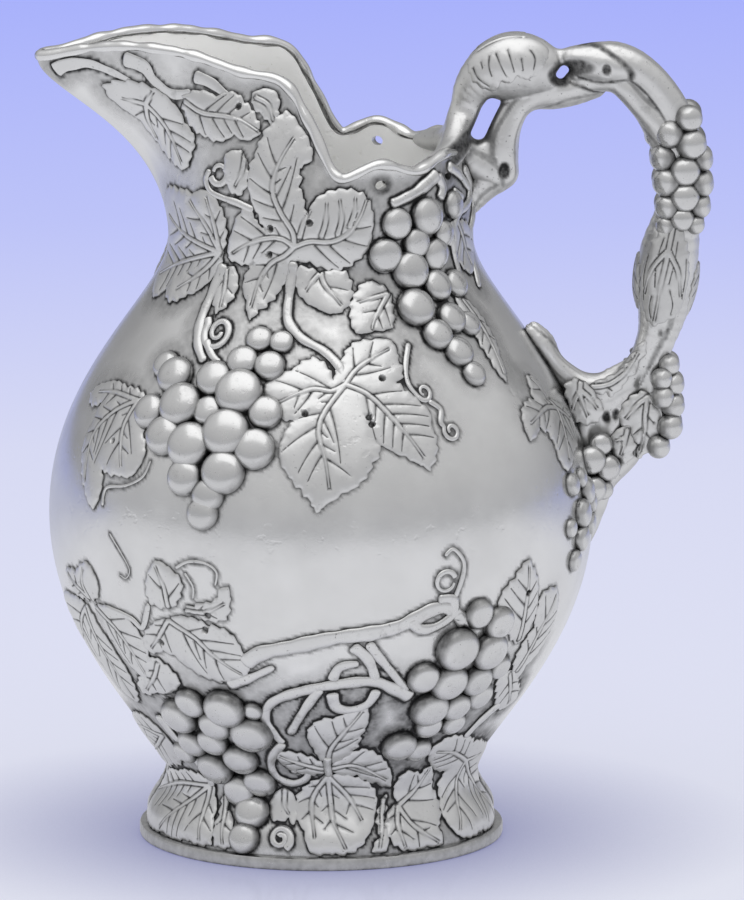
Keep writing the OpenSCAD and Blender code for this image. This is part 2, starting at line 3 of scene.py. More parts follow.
import bpy
import numpy as np
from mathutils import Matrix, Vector
from mathutils.geometry import delaunay_2d_cdt
from mathutils.kdtree import KDTree


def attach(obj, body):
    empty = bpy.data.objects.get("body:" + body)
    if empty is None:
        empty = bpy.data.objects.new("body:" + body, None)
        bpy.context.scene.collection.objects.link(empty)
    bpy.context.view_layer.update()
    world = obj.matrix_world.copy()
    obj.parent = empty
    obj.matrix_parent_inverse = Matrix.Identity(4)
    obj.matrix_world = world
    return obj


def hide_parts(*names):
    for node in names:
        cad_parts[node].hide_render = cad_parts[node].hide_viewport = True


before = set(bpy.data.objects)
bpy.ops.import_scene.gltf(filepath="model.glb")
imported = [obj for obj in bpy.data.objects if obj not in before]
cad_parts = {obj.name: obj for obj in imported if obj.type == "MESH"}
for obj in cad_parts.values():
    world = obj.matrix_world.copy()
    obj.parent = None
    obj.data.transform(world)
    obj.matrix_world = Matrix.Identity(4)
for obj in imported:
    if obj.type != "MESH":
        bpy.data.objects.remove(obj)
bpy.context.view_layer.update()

MM = 0.001

# Driving sizes in millimetres, the same as the solids have
FOOT_R, FOOT_BAND_H, FOOT_RING_W, FOOT_FLARE_R = 57.0, 4.0, 7.0, 54.5
WAIST_R, WAIST_Z, WAIST_PULL = 48.5, 22.0, 11.0
BELLY_R, BELLY_Z, BOWL_PULL, SHOULDER_PULL = 85.0, 103.0, 42.0, 45.0
NECK_R, NECK_Z, NECK_PULL = 47.5, 190.0, 18.0
WALL, FLOOR_T = 3.0, 4.0
RIM_LOW_H, RIM_LOW_R, SCALLOP_H = 25.0, 45.0, 3.5
RIM_SHOULDER_H, RIM_SHOULDER_R = 53.0, 38.5
LIP_CREST_H, LIP_CREST_R, LIP_TIP_H, LIP_REACH = 61.0, 65.0, 56.0, 88.0
LIP_SWELL = 2.0
BEAD_R = 1.7
VINE_W, VINE_H, TENDRIL_W, TENDRIL_H = 1.7, 2.2, 0.9, 1.3
SEAT_GAP = 0.3


# Curves

def bezier(p, n=120):
    t = np.linspace(0, 1, n)[:, None]
    p = np.array(p, float)
    return (1 - t) ** 3 * p[0] + 3 * (1 - t) ** 2 * t * p[1] + 3 * (1 - t) * t ** 2 * p[2] + t ** 3 * p[3]


def between(a, b, c, d, t):
    return 0.5 * (2 * b + (c - a) * t + (2 * a - 5 * b + 4 * c - d) * t ** 2 + (3 * b - a - 3 * c + d) * t ** 3)


def smooth(points, steps):
    """A smooth open curve through the points."""
    p = np.array(points, float)
    n = len(p)
    t = (np.arange(steps) / steps)[:, None]
    parts = [between(p[max(k - 1, 0)], p[k], p[k + 1], p[min(k + 2, n - 1)], t) for k in range(n - 1)]
    return np.vstack(parts + [p[-1:]])


def smooth_loop(points, steps):
    """A smooth closed curve through the points."""
    p = np.array(points, float)
    n = len(p)
    t = (np.arange(steps) / steps)[:, None]
    return np.vstack([between(p[k - 1], p[k], p[(k + 1) % n], p[(k + 2) % n], t) for k in range(n)])


def evenly(points, step):
    """The same open curve with points a fixed length apart."""
    run = np.concatenate([[0], np.cumsum(np.linalg.norm(np.diff(points, axis=0), axis=1))])
    count = max(3, int(round(run[-1] / step)) + 1)
    at = np.linspace(0, run[-1], count)
    return np.stack([np.interp(at, run, points[:, i]) for i in range(points.shape[1])], 1)


def unit(v):
    return v / np.maximum(np.linalg.norm(v, axis=-1, keepdims=True), 1e-12)


def blend(a, b, share):
    return a + (b - a) * share


def smoothstep(lo, hi, x):
    t = np.clip((x - lo) / (hi - lo), 0, 1)
    return t * t * (3 - 2 * t)


# Skin of the vessel: profile of foot and bowl, then the neck and lip up to the rim

FOOT_MID_Z = (FOOT_BAND_H + WAIST_Z) / 2
foot_curve = bezier([(FOOT_FLARE_R, FOOT_BAND_H), (FOOT_FLARE_R, FOOT_MID_Z), (WAIST_R, FOOT_MID_Z),
                     (WAIST_R, WAIST_Z)])
bowl_curve = bezier([(WAIST_R, WAIST_Z), (WAIST_R + 1.5, WAIST_Z + WAIST_PULL), (BELLY_R, BELLY_Z - BOWL_PULL),
                     (BELLY_R, BELLY_Z)])
shoulder_curve = bezier([(BELLY_R, BELLY_Z), (BELLY_R, BELLY_Z + SHOULDER_PULL), (NECK_R, NECK_Z - NECK_PULL),
                         (NECK_R, NECK_Z)])
skin_curve = np.vstack([foot_curve, bowl_curve[1:], shoulder_curve[1:]])
skin_run = np.concatenate([[0], np.cumsum(np.linalg.norm(np.diff(skin_curve, axis=0), axis=1))])
NECK_RUN = skin_run[-1]

LOW_Z, HIGH_Z = NECK_Z + RIM_LOW_H, NECK_Z + RIM_SHOULDER_H
CREST_Z, TIP_Z = NECK_Z + LIP_CREST_H, NECK_Z + LIP_TIP_H
# angle from the handle, radius, height
rim_half = [
    (0, RIM_LOW_R, LOW_Z),
    (28, RIM_LOW_R, LOW_Z + SCALLOP_H),
    (48, RIM_LOW_R, LOW_Z),
    (66, RIM_LOW_R + 1, LOW_Z + SCALLOP_H),
    (83, RIM_LOW_R, LOW_Z),
    (95, blend(RIM_LOW_R, RIM_SHOULDER_R, 0.65), blend(LOW_Z, HIGH_Z, 0.55)),
    (108, RIM_SHOULDER_R, HIGH_Z),
    (128, RIM_SHOULDER_R + 2.5, blend(HIGH_Z, CREST_Z, 0.35)),
    (147, blend(RIM_SHOULDER_R, LIP_CREST_R, 0.3), blend(HIGH_Z, CREST_Z, 0.8)),
    (158, blend(RIM_SHOULDER_R, LIP_CREST_R, 0.6), CREST_Z),
    (168, LIP_CREST_R, CREST_Z),
    (175, blend(LIP_CREST_R, LIP_REACH, 0.5), blend(CREST_Z, TIP_Z, 0.4)),
    (180, LIP_REACH, TIP_Z),
]


def polar(turn, r, z):
    a = np.radians(turn)
    return np.stack([r * np.cos(a), r * np.sin(a), z + 0 * a], -1)


RIM_STEPS = 20
rim_stations = [polar(*p) for p in rim_half] + [polar(-a, r, z) for a, r, z in rim_half[-2:0:-1]]
rim = smooth_loop(rim_stations, RIM_STEPS)
half_rim = rim[:len(rim) // 2 + 1]
rim_turn = np.degrees(np.abs(np.arctan2(half_rim[:, 1], half_rim[:, 0])))
rim_reach = np.hypot(half_rim[:, 0], half_rim[:, 1])


def lip_ease(v):
    return v * v * (1 + LIP_SWELL * v ** 4 * (1 - v))


def rim_r(turn):
    return np.interp(turn, rim_turn, rim_reach)


def rim_z(turn):
    return np.interp(turn, rim_turn, half_rim[:, 2])


def skin_r(turn, z):
    v = np.maximum(z - NECK_Z, 0) / (rim_z(turn) - NECK_Z)
    return np.where(z <= NECK_Z, np.interp(z, skin_curve[:, 1], skin_curve[:, 0]),
                    NECK_R + (rim_r(turn) - NECK_R) * lip_ease(v))


def run_of(z):
    return np.where(z <= NECK_Z, np.interp(z, skin_curve[:, 1], skin_run), NECK_RUN + z - NECK_Z)


def z_of(run):
    return np.where(run <= NECK_RUN, np.interp(run, skin_run, skin_curve[:, 1]), NECK_Z + run - NECK_RUN)


def skin_point(around, run):
    """Points of the skin; around is degrees from the front towards the handle."""
    turn = np.abs(90 - around)
    turn = np.where(turn > 180, 360 - turn, turn)
    z = np.minimum(z_of(run), rim_z(turn) - SEAT_GAP)
    r = skin_r(turn, z)
    a = np.radians(around)
    return np.stack([r * np.sin(a), -r * np.cos(a), z], -1)


def skin_normal(around, run, step=0.4):
    across = skin_point(around + step, run) - skin_point(around - step, run)
    along = skin_point(around, run + step) - skin_point(around, run - step)
    return unit(np.cross(across, along))


def skin_map(around, up):
    """From millimetres round and up the skin, and a height off it, to points in space."""
    run = float(run_of(up))

    def place(x, y, h):
        a = around + np.degrees(x / skin_r(90 - around, z_of(run + y)))
        return skin_point(a, run + y) + np.asarray(h)[..., None] * skin_normal(a, run + y)
    return place


# Materials

def node(tree, kind, **values):
    n = tree.nodes.new(kind)
    for key, value in values.items():
        setattr(n, key, value)
    return n


def feed(tree, socket, value):
    """Set a socket to a number or a colour, or link another socket to it."""
    if isinstance(value, bpy.types.NodeSocket):
        tree.links.new(value, socket)
    elif isinstance(value, tuple):
        socket.default_value = (*value, 1)
    else:
        socket.default_value = value


def combine(tree, kind, *values):
    """Numbers put together by one step of arithmetic."""
    n = node(tree, "ShaderNodeMath", operation=kind)
    for socket, value in zip(n.inputs, values):
        feed(tree, socket, value)
    return n.outputs[0]


def span(tree, value, lo, hi, to_lo=0.0, to_hi=1.0):
    """A value carried from one range to another, and held at its ends."""
    n = node(tree, "ShaderNodeMapRange", clamp=True)
    for key, number in (("Value", value), ("From Min", lo), ("From Max", hi), ("To Min", to_lo), ("To Max", to_hi)):
        feed(tree, n.inputs[key], number)
    return n.outputs["Result"]


def mix(tree, share, a, b, kind="MIX"):
    """Two colours, mixed or multiplied."""
    n = node(tree, "ShaderNodeMix", data_type="RGBA", blend_type=kind)
    for key, value in (("Factor", share), ("A", a), ("B", b)):
        feed(tree, n.inputs[key], value)
    return n.outputs["Result"]


def ramp(tree, value, first, *stops):
    """A colour ramp through stops, each a place and a colour."""
    n = node(tree, "ShaderNodeValToRGB")
    elements = n.color_ramp.elements
    for element, (place, colour) in zip(elements, (first, stops[-1])):
        element.position, element.color = place, (*colour, 1)
    for place, colour in stops[:-1]:
        elements.new(place).color = (*colour, 1)
    tree.links.new(value, n.inputs["Fac"])
    return n.outputs["Color"]


PATINA_AND_SHADE_COLOUR = (0.045, 0.045, 0.046)
HOLLOW_REACH = 2.4 * MM
# how much of the floor's colour, as the camera sees it, shows in the metal
SEEN_IN_METAL = 0.35


def metal_material(name, clean, rough, wave, pits, stain, metal=1.0, painted_glow=0.0):
    """Polished cast metal: bright on the high points, dark in grooves and where pieces meet, from tarnish there and
    from the painted shade that some parts carry.

    wave and pits are the depths, in millimetres, of the slow and the fine unevenness of the surface. Any emission is
    painted light: the surface gives off its clean colour, though it is no lamp.
    """
    mat = bpy.data.materials.new(name)
    mat.use_nodes = True
    tree = mat.node_tree
    link = tree.links.new
    tree.nodes.clear()
    out = node(tree, "ShaderNodeOutputMaterial")
    bsdf = node(tree, "ShaderNodeBsdfPrincipled")
    bsdf.inputs["Metallic"].default_value = metal
    # painted light: the surface gives off light of its clean colour, though it is no lamp
    bsdf.inputs["Emission Color"].default_value = (*clean, 1)
    bsdf.inputs["Emission Strength"].default_value = painted_glow
    link(bsdf.outputs[0], out.inputs[0])
    place = node(tree, "ShaderNodeTexCoord").outputs["Object"]

    def noise(scale, detail=4.0, roughness=0.55):
        n = node(tree, "ShaderNodeTexNoise")
        for key, value in (("Vector", place), ("Scale", scale), ("Detail", detail), ("Roughness", roughness)):
            feed(tree, n.inputs[key], value)
        return n.outputs["Fac"]

    def bump(height, depth, normal=None):
        n = node(tree, "ShaderNodeBump")
        n.inputs["Strength"].default_value = 1.0
        n.inputs["Distance"].default_value = depth * MM
        link(height, n.inputs["Height"])
        if normal is not None:
            link(normal, n.inputs["Normal"])
        return n.outputs[0]

    # the vertex darkness: tarnish in hollows and grooves, with painted shade on grape edges, the handle's underside
    # and the lip's tip
    groove = node(tree, "ShaderNodeAttribute", attribute_name="patina").outputs["Fac"]
    hollow = node(tree, "ShaderNodeAmbientOcclusion", samples=6)
    hollow.inputs["Distance"].default_value = HOLLOW_REACH
    dark = combine(tree, "MAXIMUM", span(tree, hollow.outputs["AO"], 0.74, 0.30), groove)
    stains = combine(tree, "MAXIMUM", span(tree, noise(230, 6, 0.62), 0.54, 0.72, 0.0, stain),
                     span(tree, noise(1100, 2, 0.5), 0.66, 0.76, 0.0, 2 * stain))
    mottle = span(tree, noise(420, 5), 0.35, 0.7, 0.7, 1.1)
    dark = span(tree, combine(tree, "MULTIPLY", combine(tree, "MAXIMUM", dark, stains), mottle), 0.05, 0.95)

    worn = tuple(0.93 * c for c in clean)
    tone = mix(tree, span(tree, noise(55, 3), 0.35, 0.65), worn, clean)
    link(mix(tree, dark, tone, PATINA_AND_SHADE_COLOUR), bsdf.inputs["Base Color"])
    haze = span(tree, noise(140, 5), 0.3, 0.75, rough - 0.05, rough + 0.07)
    link(combine(tree, "ADD", haze, combine(tree, "MULTIPLY", dark, 0.32)), bsdf.inputs["Roughness"])
    grain = combine(tree, "ADD", noise(900, 4, 0.6), span(tree, noise(330, 2, 0.5), 0.62, 0.72, 0.0, -1.6))
    link(bump(grain, pits, bump(noise(38, 2, 0.4), wave)), bsdf.inputs["Normal"])
    return mat


BODY = metal_material("polished_body", (0.75, 0.75, 0.745), rough=0.21, wave=0.22, pits=0.016, stain=0.05)
# the inside wall gives off a little light of its own: painted light that brightens it, though it is no lamp
GLOWING_INSIDE = metal_material("satin_inside_painted_glow", (0.97, 0.97, 0.955), rough=0.6, wave=0.5, pits=0.05, stain=0.2,
                        metal=0.0, painted_glow=0.11)
LEAF = metal_material("relief_leaf", (0.70, 0.70, 0.695), rough=0.35, wave=0.10, pits=0.03, stain=0.2)
GRAPE = metal_material("relief_grape", (0.66, 0.66, 0.656), rough=0.24, wave=0.06, pits=0.02, stain=0.22)
VINE = metal_material("relief_vine", (0.70, 0.70, 0.695), rough=0.31, wave=0.12, pits=0.03, stain=0.34)


# Meshes

# angles in degrees past which an edge looks sharp: on turned parts, on leaves, and on round forms
TURNED_SHARP, FLAT_SHARP, ROUND_SHARP = 35.0, 50.0, 80.0


class Shape:
    """Vertices in millimetres, faces, and how dark each vertex is, tarnish in most places and painted shade on some,
    gathered from several parts.
    """

    def __init__(self):
        self.points, self.faces, self.patina, self.count = [], [], [], 0
        self.inside_faces = set()

    def add(self, points, faces, patina=0.0):
        points = np.asarray(points, float).reshape(-1, 3)
        self.points.append(points)
        self.faces += [tuple(int(i) + self.count for i in f) for f in faces]
        self.patina.append(np.broadcast_to(np.asarray(patina, float), len(points)).copy())
        self.count += len(points)

    def build(self, name, nodes, material, slot, mirrored=False, sharp=FLAT_SHARP, second=None):
        points = np.vstack(self.points) * MM
        faces = self.faces
        if mirrored:
            points = points * (1, -1, 1)
            faces = [f[::-1] for f in faces]
        mesh = bpy.data.meshes.new(name)
        mesh.from_pydata(points.tolist(), [], faces)
        patina = mesh.attributes.new("patina", "FLOAT", "POINT")
        patina.data.foreach_set("value", np.concatenate(self.patina).astype(np.float32))
        mesh.materials.append(material)
        if second is not None:
            mesh.materials.append(second)
            for i in self.inside_faces:
                mesh.polygons[i].material_index = 1
        mesh.shade_smooth()
        mesh.set_sharp_from_angle(angle=math.radians(sharp))
        mesh.update()
        piece = bpy.data.objects.new(name, mesh)
        bpy.context.scene.collection.objects.link(piece)
        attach(piece, "root")
        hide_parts(*nodes)
        return piece


def grid_faces(rows, columns, close_rows=False, close_columns=True):
    """Faces of a grid of points; rings are right-handed about the way from row to row."""
    faces = []
    for i in range(rows if close_rows else rows - 1):
        i2 = (i + 1) % rows
        for j in range(columns if close_columns else columns - 1):
            k = (j + 1) % columns
            faces.append((i * columns + j, i * columns + k, i2 * columns + k, i2 * columns + j))
    return faces


def capped(rings):
    """Points and faces of a tube with a rounded-off centre at each end."""
    m, n = len(rings), len(rings[0])
    points = np.vstack([np.vstack(rings), rings[0].mean(0), rings[-1].mean(0)])
    faces = grid_faces(m, n)
    faces += [(m * n, (j + 1) % n, j) for j in range(n)]
    faces += [(m * n + 1, (m - 1) * n + j, (m - 1) * n + (j + 1) % n) for j in range(n)]
    return points, faces


def revolve(profile, segments=360):
    """A closed profile of (radius, height) turned about the axis."""
    a = np.linspace(0, 2 * np.pi, segments, endpoint=False)
    rows = [np.stack([r * np.cos(a), r * np.sin(a), np.full_like(a, z)], 1) for r, z in profile]
    return np.vstack(rows), [f[::-1] for f in grid_faces(len(profile), segments, close_rows=True)]


# Body

def tarnish_and_shade_of(points):
    """How dark the skin is at each point: darkest against the ornament, fading a few millimetres away."""
    d = np.array([ORNAMENT.find((x, -abs(y), z))[2] for x, y, z in points])
    x, z = points[:, 0], points[:, 2]
    # the low band of ornament, darker towards the handle and cleaner just over the foot
    crowded = smoothstep(74, 56, z) * (0.9 + 0.5 * smoothstep(-15, 15, x)) - 0.5 * smoothstep(18, 6, z)
    # the shoulder and neck, apart from a bright patch of the shoulder towards the handle
    crowded += 0.75 * smoothstep(134, 160, z) * (1 - 0.6 * smoothstep(22, 38, x) * smoothstep(170, 150, z))
    # brighter under the lip, and dark again at its tip, where the darkening is painted shade
    crowded -= 0.35 * smoothstep(0, -20, x) * smoothstep(196, 208, z)
    crowded += 0.4 * smoothstep(-55, -80, x) * smoothstep(215, 232, z)
    line, haze = smoothstep(1.2, 0.4, d), smoothstep(9, 1, d)
    return 0.75 * line + (0.08 + 0.50 * crowded) * haze


SKIN_SEGMENTS = 560
SKIN_STEP = 0.95
FOOT_DULL = 0.42


def build_turned(node_name, outer, inner, dull_and_shade=0.0):
    """A turned shell: a finely divided outer profile, and an inner one back to its start, bright or evenly darkened.
    """
    outer = evenly(np.array(outer, float), SKIN_STEP)
    points, faces = revolve(np.vstack([outer, inner]), SKIN_SEGMENTS)
    patina = np.full(len(points), dull_and_shade)
    skin = len(outer) * SKIN_SEGMENTS
    patina[:skin] = tarnish_and_shade_of(points[:skin])
    shape = Shape()
    shape.add(points, faces, patina)
    shape.build(f"{node_name}_skin", [node_name], BODY, "body_metal", sharp=TURNED_SHARP)


def build_foot():
    band = [(FOOT_R - 0.8, 0), (FOOT_R - 0.2, 0.3), (FOOT_R, 0.9), (FOOT_R, FOOT_BAND_H - 0.9),
            (FOOT_R - 0.3, FOOT_BAND_H - 0.25), (FOOT_R - 1.0, FOOT_BAND_H), (FOOT_FLARE_R + 0.4, FOOT_BAND_H)]
    inner = [(WAIST_R - WALL, WAIST_Z), (FOOT_FLARE_R - WALL, FOOT_BAND_H), (FOOT_R - FOOT_RING_W, 0)]
    build_turned("foot", foot_curve, inner + band, FOOT_DULL)


def build_lower_bowl():
    inner = [(r - WALL, z) for r, z in bowl_curve[::3] if z > WAIST_Z + FLOOR_T]
    floor = [(inner[0][0] * s, WAIST_Z + FLOOR_T) for s in (1, 0.6, 0.001)]
    under = [(WAIST_R * s, WAIST_Z) for s in (0.001, 0.6)]
    build_turned("lower_bowl", bowl_curve, inner[::-1] + floor + under)


def build_shoulder():
    inner = [(r - WALL, z) for r, z in shoulder_curve[::3]]
    build_turned("shoulder", shoulder_curve, inner[::-1])


def lip_ring(v, inset):
    """One level ring of the neck and lip, from the joint (v = 0) to the rim (v = 1)."""
    n = len(rim)
    tangent = np.roll(rim, -1, 0) - np.roll(rim, 1, 0)
    r = np.hypot(rim[:, 0], rim[:, 1])
    u = rim[:, :2] / r[:, None]
    slant = np.abs(tangent[:, 1] * u[:, 0] - tangent[:, 0] * u[:, 1]) / np.hypot(tangent[:, 0], tangent[:, 1])
    depth = inset * WALL * blend(1, 1 / np.maximum(0.5, slant), lip_ease(v))
    reach = NECK_R + (r - NECK_R) * lip_ease(v) - depth
    return np.column_stack([u * reach[:, None], blend(NECK_Z, rim[:, 2], v)])


# turns from the handle of the pierced holes, their half width, half height and depth under the rim
PIERCE_TURNS = (66, 30, -30, -66)
PIERCE_HALF_W, PIERCE_HALF_H, PIERCE_DROP = 2.0, 1.5, 5.2
NECK_LEVELS = 56
FAR = 9.0


def pierce(points, faces, n, levels):
    """Cut the small oval holes through the outer and inner rows of the neck, and wall them."""
    gone, walls = set(), []
    hollow = np.full(len(points), FAR)
    for turn in PIERCE_TURNS:
        spin = np.degrees(np.arctan2(points[:, 1], points[:, 0])) - turn
        r = np.hypot(points[:, 0], points[:, 1])
        x = np.radians((spin + 180) % 360 - 180) * r / PIERCE_HALF_W
        y = (points[:, 2] - (float(rim_z(abs(turn))) - PIERCE_DROP)) / PIERCE_HALF_H
        outer = range((levels - 1) * n)
        q = np.hypot(x, y)
        hollow = np.minimum(hollow, q)
        cell = {i for i in outer if q[list(faces[i])].mean() < 1}
        edges = {e for i in cell for e in zip(faces[i], faces[i][1:] + faces[i][:1])}
        border = [e for e in edges if e[::-1] not in edges]
        twin = {v: (2 * levels - 1 - v // n) * n + v % n for e in border for v in e}
        for v, w in twin.items():
            around = np.array([-points[v, 1], points[v, 0], 0]) / r[v]
            shift = around * x[v] * (1 / q[v] - 1) * PIERCE_HALF_W
            shift[2] = y[v] * (1 / q[v] - 1) * PIERCE_HALF_H
            points[v] += shift
            points[w] += shift
        walls += [(a, b, twin[b], twin[a]) for a, b in border]
        gone |= cell | {(2 * levels - 2 - i // n) * n + i % n for i in cell}
    kept = [(i, f) for i, f in enumerate(faces) if i not in gone]
    inside_faces = {k for k, (i, _) in enumerate(kept) if i >= (levels - 1) * n}
    return [f for _, f in kept] + sorted(walls), inside_faces, hollow


def build_neck():
    levels = np.linspace(0, 1, NECK_LEVELS)
    rows = [lip_ring(v, 0) for v in levels] + [lip_ring(v, 1) for v in levels[::-1]]
    points = np.vstack(rows)
    faces, inside_faces, hollow = pierce(points, grid_faces(len(rows), len(rim), close_rows=True), len(rim),
                                         len(levels))
    patina = np.zeros(len(points))
    skin = len(levels) * len(rim)
    patina[:skin] = np.maximum(tarnish_and_shade_of(points[:skin]), 0.85 * smoothstep(3.2, 1.2, hollow[:skin]))
    shape = Shape()
    shape.add(points, faces, patina)
    shape.inside_faces = inside_faces
    shape.build("neck_lip_skin", ["neck_lip"], BODY, "body_metal", sharp=TURNED_SHARP, second=GLOWING_INSIDE)


def build_bead():
    middle = (lip_ring(1.0, 0) + lip_ring(1.0, 1)) / 2
    t = unit(np.roll(middle, -1, 0) - np.roll(middle, 1, 0))
    up = unit(np.array([0, 0, 1.0]) - t[:, 2:3] * t)
    side = np.cross(t, up)
    sides = 14
    a = np.linspace(0, 2 * np.pi, sides, endpoint=False)
    n = len(middle)
    along = np.arange(n) / n * 2 * np.pi
    swell = 1 + 0.10 * np.sin(23 * along) + 0.07 * np.sin(41 * along + 1.0)
    swell += 0.4 * smoothstep(-74, -96, middle[:, 0])
    centre = middle + up * (BEAD_R * 0.55)
    wide, tall = 2.05, 1.75
    rows = [centre[i] + swell[i] * (tall * np.cos(a)[:, None] * up[i] + wide * np.sin(a)[:, None] * side[i])
            for i in range(n)]
    shape = Shape()
    shape.add(np.vstack(rows), grid_faces(n, sides, close_rows=True))
    shape.build("rim_bead_roll", ["rim_bead"], BODY, "body_metal", sharp=ROUND_SHARP)


# Leaves. Outlines, veins and pits are places on the skin: degrees from the front, height in millimetres.

def inside(points, polygon):
    """Which points lie inside a closed polygon."""
    x, y = points[:, 0][:, None], points[:, 1][:, None]
    ax, ay = polygon[:, 0], polygon[:, 1]
    bx, by = np.roll(ax, -1), np.roll(ay, -1)
    spans = (ay > y) != (by > y)
    rise = np.where(by == ay, 1e-9, by - ay)
    return (spans & (x < (bx - ax) * (y - ay) / rise + ax)).sum(1) % 2 == 1


def nearest(points, targets):
    """Distance to the nearest target, and which one it is."""
    best, which = np.full(len(points), 1e9), np.zeros(len(points), int)
    for start in range(0, len(targets), 300):
        d = ((points[:, None, :] - targets[None, start:start + 300]) ** 2).sum(2)
        k = d.argmin(1)
        low = d[np.arange(len(points)), k]
        better = low < best
        best[better], which[better] = low[better], k[better] + start
    return np.sqrt(best), which


EDGE_STEP = 0.42


def toothed(corners, tooth, pitch):
    """A closed outline through the corners, bulged a little between them, with small pointed teeth."""
    c = np.array(corners, float)
    if (c[:, 0] * np.roll(c[:, 1], -1) - np.roll(c[:, 0], -1) * c[:, 1]).sum() < 0:
        c = c[::-1]
    rows = []
    for a, b in zip(c, np.roll(c, -1, 0)):
        t = np.linspace(0, 1, 12, endpoint=False)[:, None]
        out = np.array([(b - a)[1], -(b - a)[0]])
        rows.append(a + (b - a) * t + out * 0.09 * np.sin(np.pi * t))
    p = evenly(np.vstack(rows + [c[:1]]), EDGE_STEP)[:-1]
    tangent = unit(np.roll(p, -2, 0) - np.roll(p, 2, 0))
    out = np.stack([tangent[:, 1], -tangent[:, 0]], 1)
    run = np.arange(len(p)) * EDGE_STEP
    wander = 0.6 + 0.4 * np.sin(run / 5.1)
    saw = (run / pitch) % 1.0
    return p + out * (tooth * wander * (np.where(saw < 0.75, saw / 0.75, (1 - saw) / 0.25) - 0.5))[:, None]


SHORT_VEIN = 11.0
VEIN_GAP = 6.8
VEIN_STEP = 0.3


def side_veins(mains, polygon):
    """Tapered lines that leave the main veins on both sides, each with its share of the full width."""
    lines, widths = [], []
    for k, main in enumerate(mains):
        others = [m for i, m in enumerate(mains) if i != k]
        length = VEIN_STEP * len(main)
        if length < SHORT_VEIN:
            continue
        count = max(1, int(length / VEIN_GAP))
        for j in range(count):
            for way in (-1, 1):
                at = 0.2 + 0.62 * (j + (0.35 if way > 0 else 0)) / count
                i = min(int(at * len(main)), len(main) - 3)
                ahead = unit(main[i + 2] - main[i])
                across = np.array([-ahead[1], ahead[0]]) * way
                longest = 0.45 * length * (1 - at) + 4
                u = np.arange(0.9, longest, VEIN_STEP)[:, None]
                line = main[i] + u * (0.62 * ahead + 0.78 * across) + ahead * 0.2 * u ** 2 / longest
                fine = inside(line, polygon) & (nearest(line, polygon)[0] > 0.8)
                if others:
                    away = nearest(line, np.vstack(others))[0]
                    fine &= (away > 1.0) & (away > nearest(line, main)[0] * 1.1)
                if lines:
                    fine &= nearest(line, np.vstack(lines))[0] > 1.3
                stop = len(line) if fine.all() else int(np.argmin(fine))
                if stop > 6:
                    lines.append(line[:stop])
                    widths.append(np.linspace(1, 0.35, stop))
    return lines, widths


def offsets_of(line, amounts):
    tangent = unit(np.gradient(line, axis=0))
    across = np.stack([-tangent[:, 1], tangent[:, 0]], 1)
    return np.vstack([line + across * k for k in amounts])


def thin_out(points, cell):
    """At most one point in each small square, the first one given."""
    keys = np.round(points / cell).astype(int)
    _, first = np.unique(keys, axis=0, return_index=True)
    return points[np.sort(first)]


# flat millimetres: the plain grid, rows beside edge, ribs and cuts, rings round a pit, and the least gaps kept
LEAF_GRID_X, LEAF_GRID_Y = 0.95, 0.82
EDGE_ROWS = (0.45, 0.95)
RIB_ROWS = (0, 0.42, -0.42, 0.85, -0.85, 1.35, -1.35)
CUT_ROWS = (0, 0.36, -0.36, 0.8, -0.8)
PIT_RINGS = (0.45, 0.9, 1.3)
ROW_GAP, FILL_GAP, EDGE_GAP = 0.34, 0.6, 0.28
UNDER_PATINA = 0.7


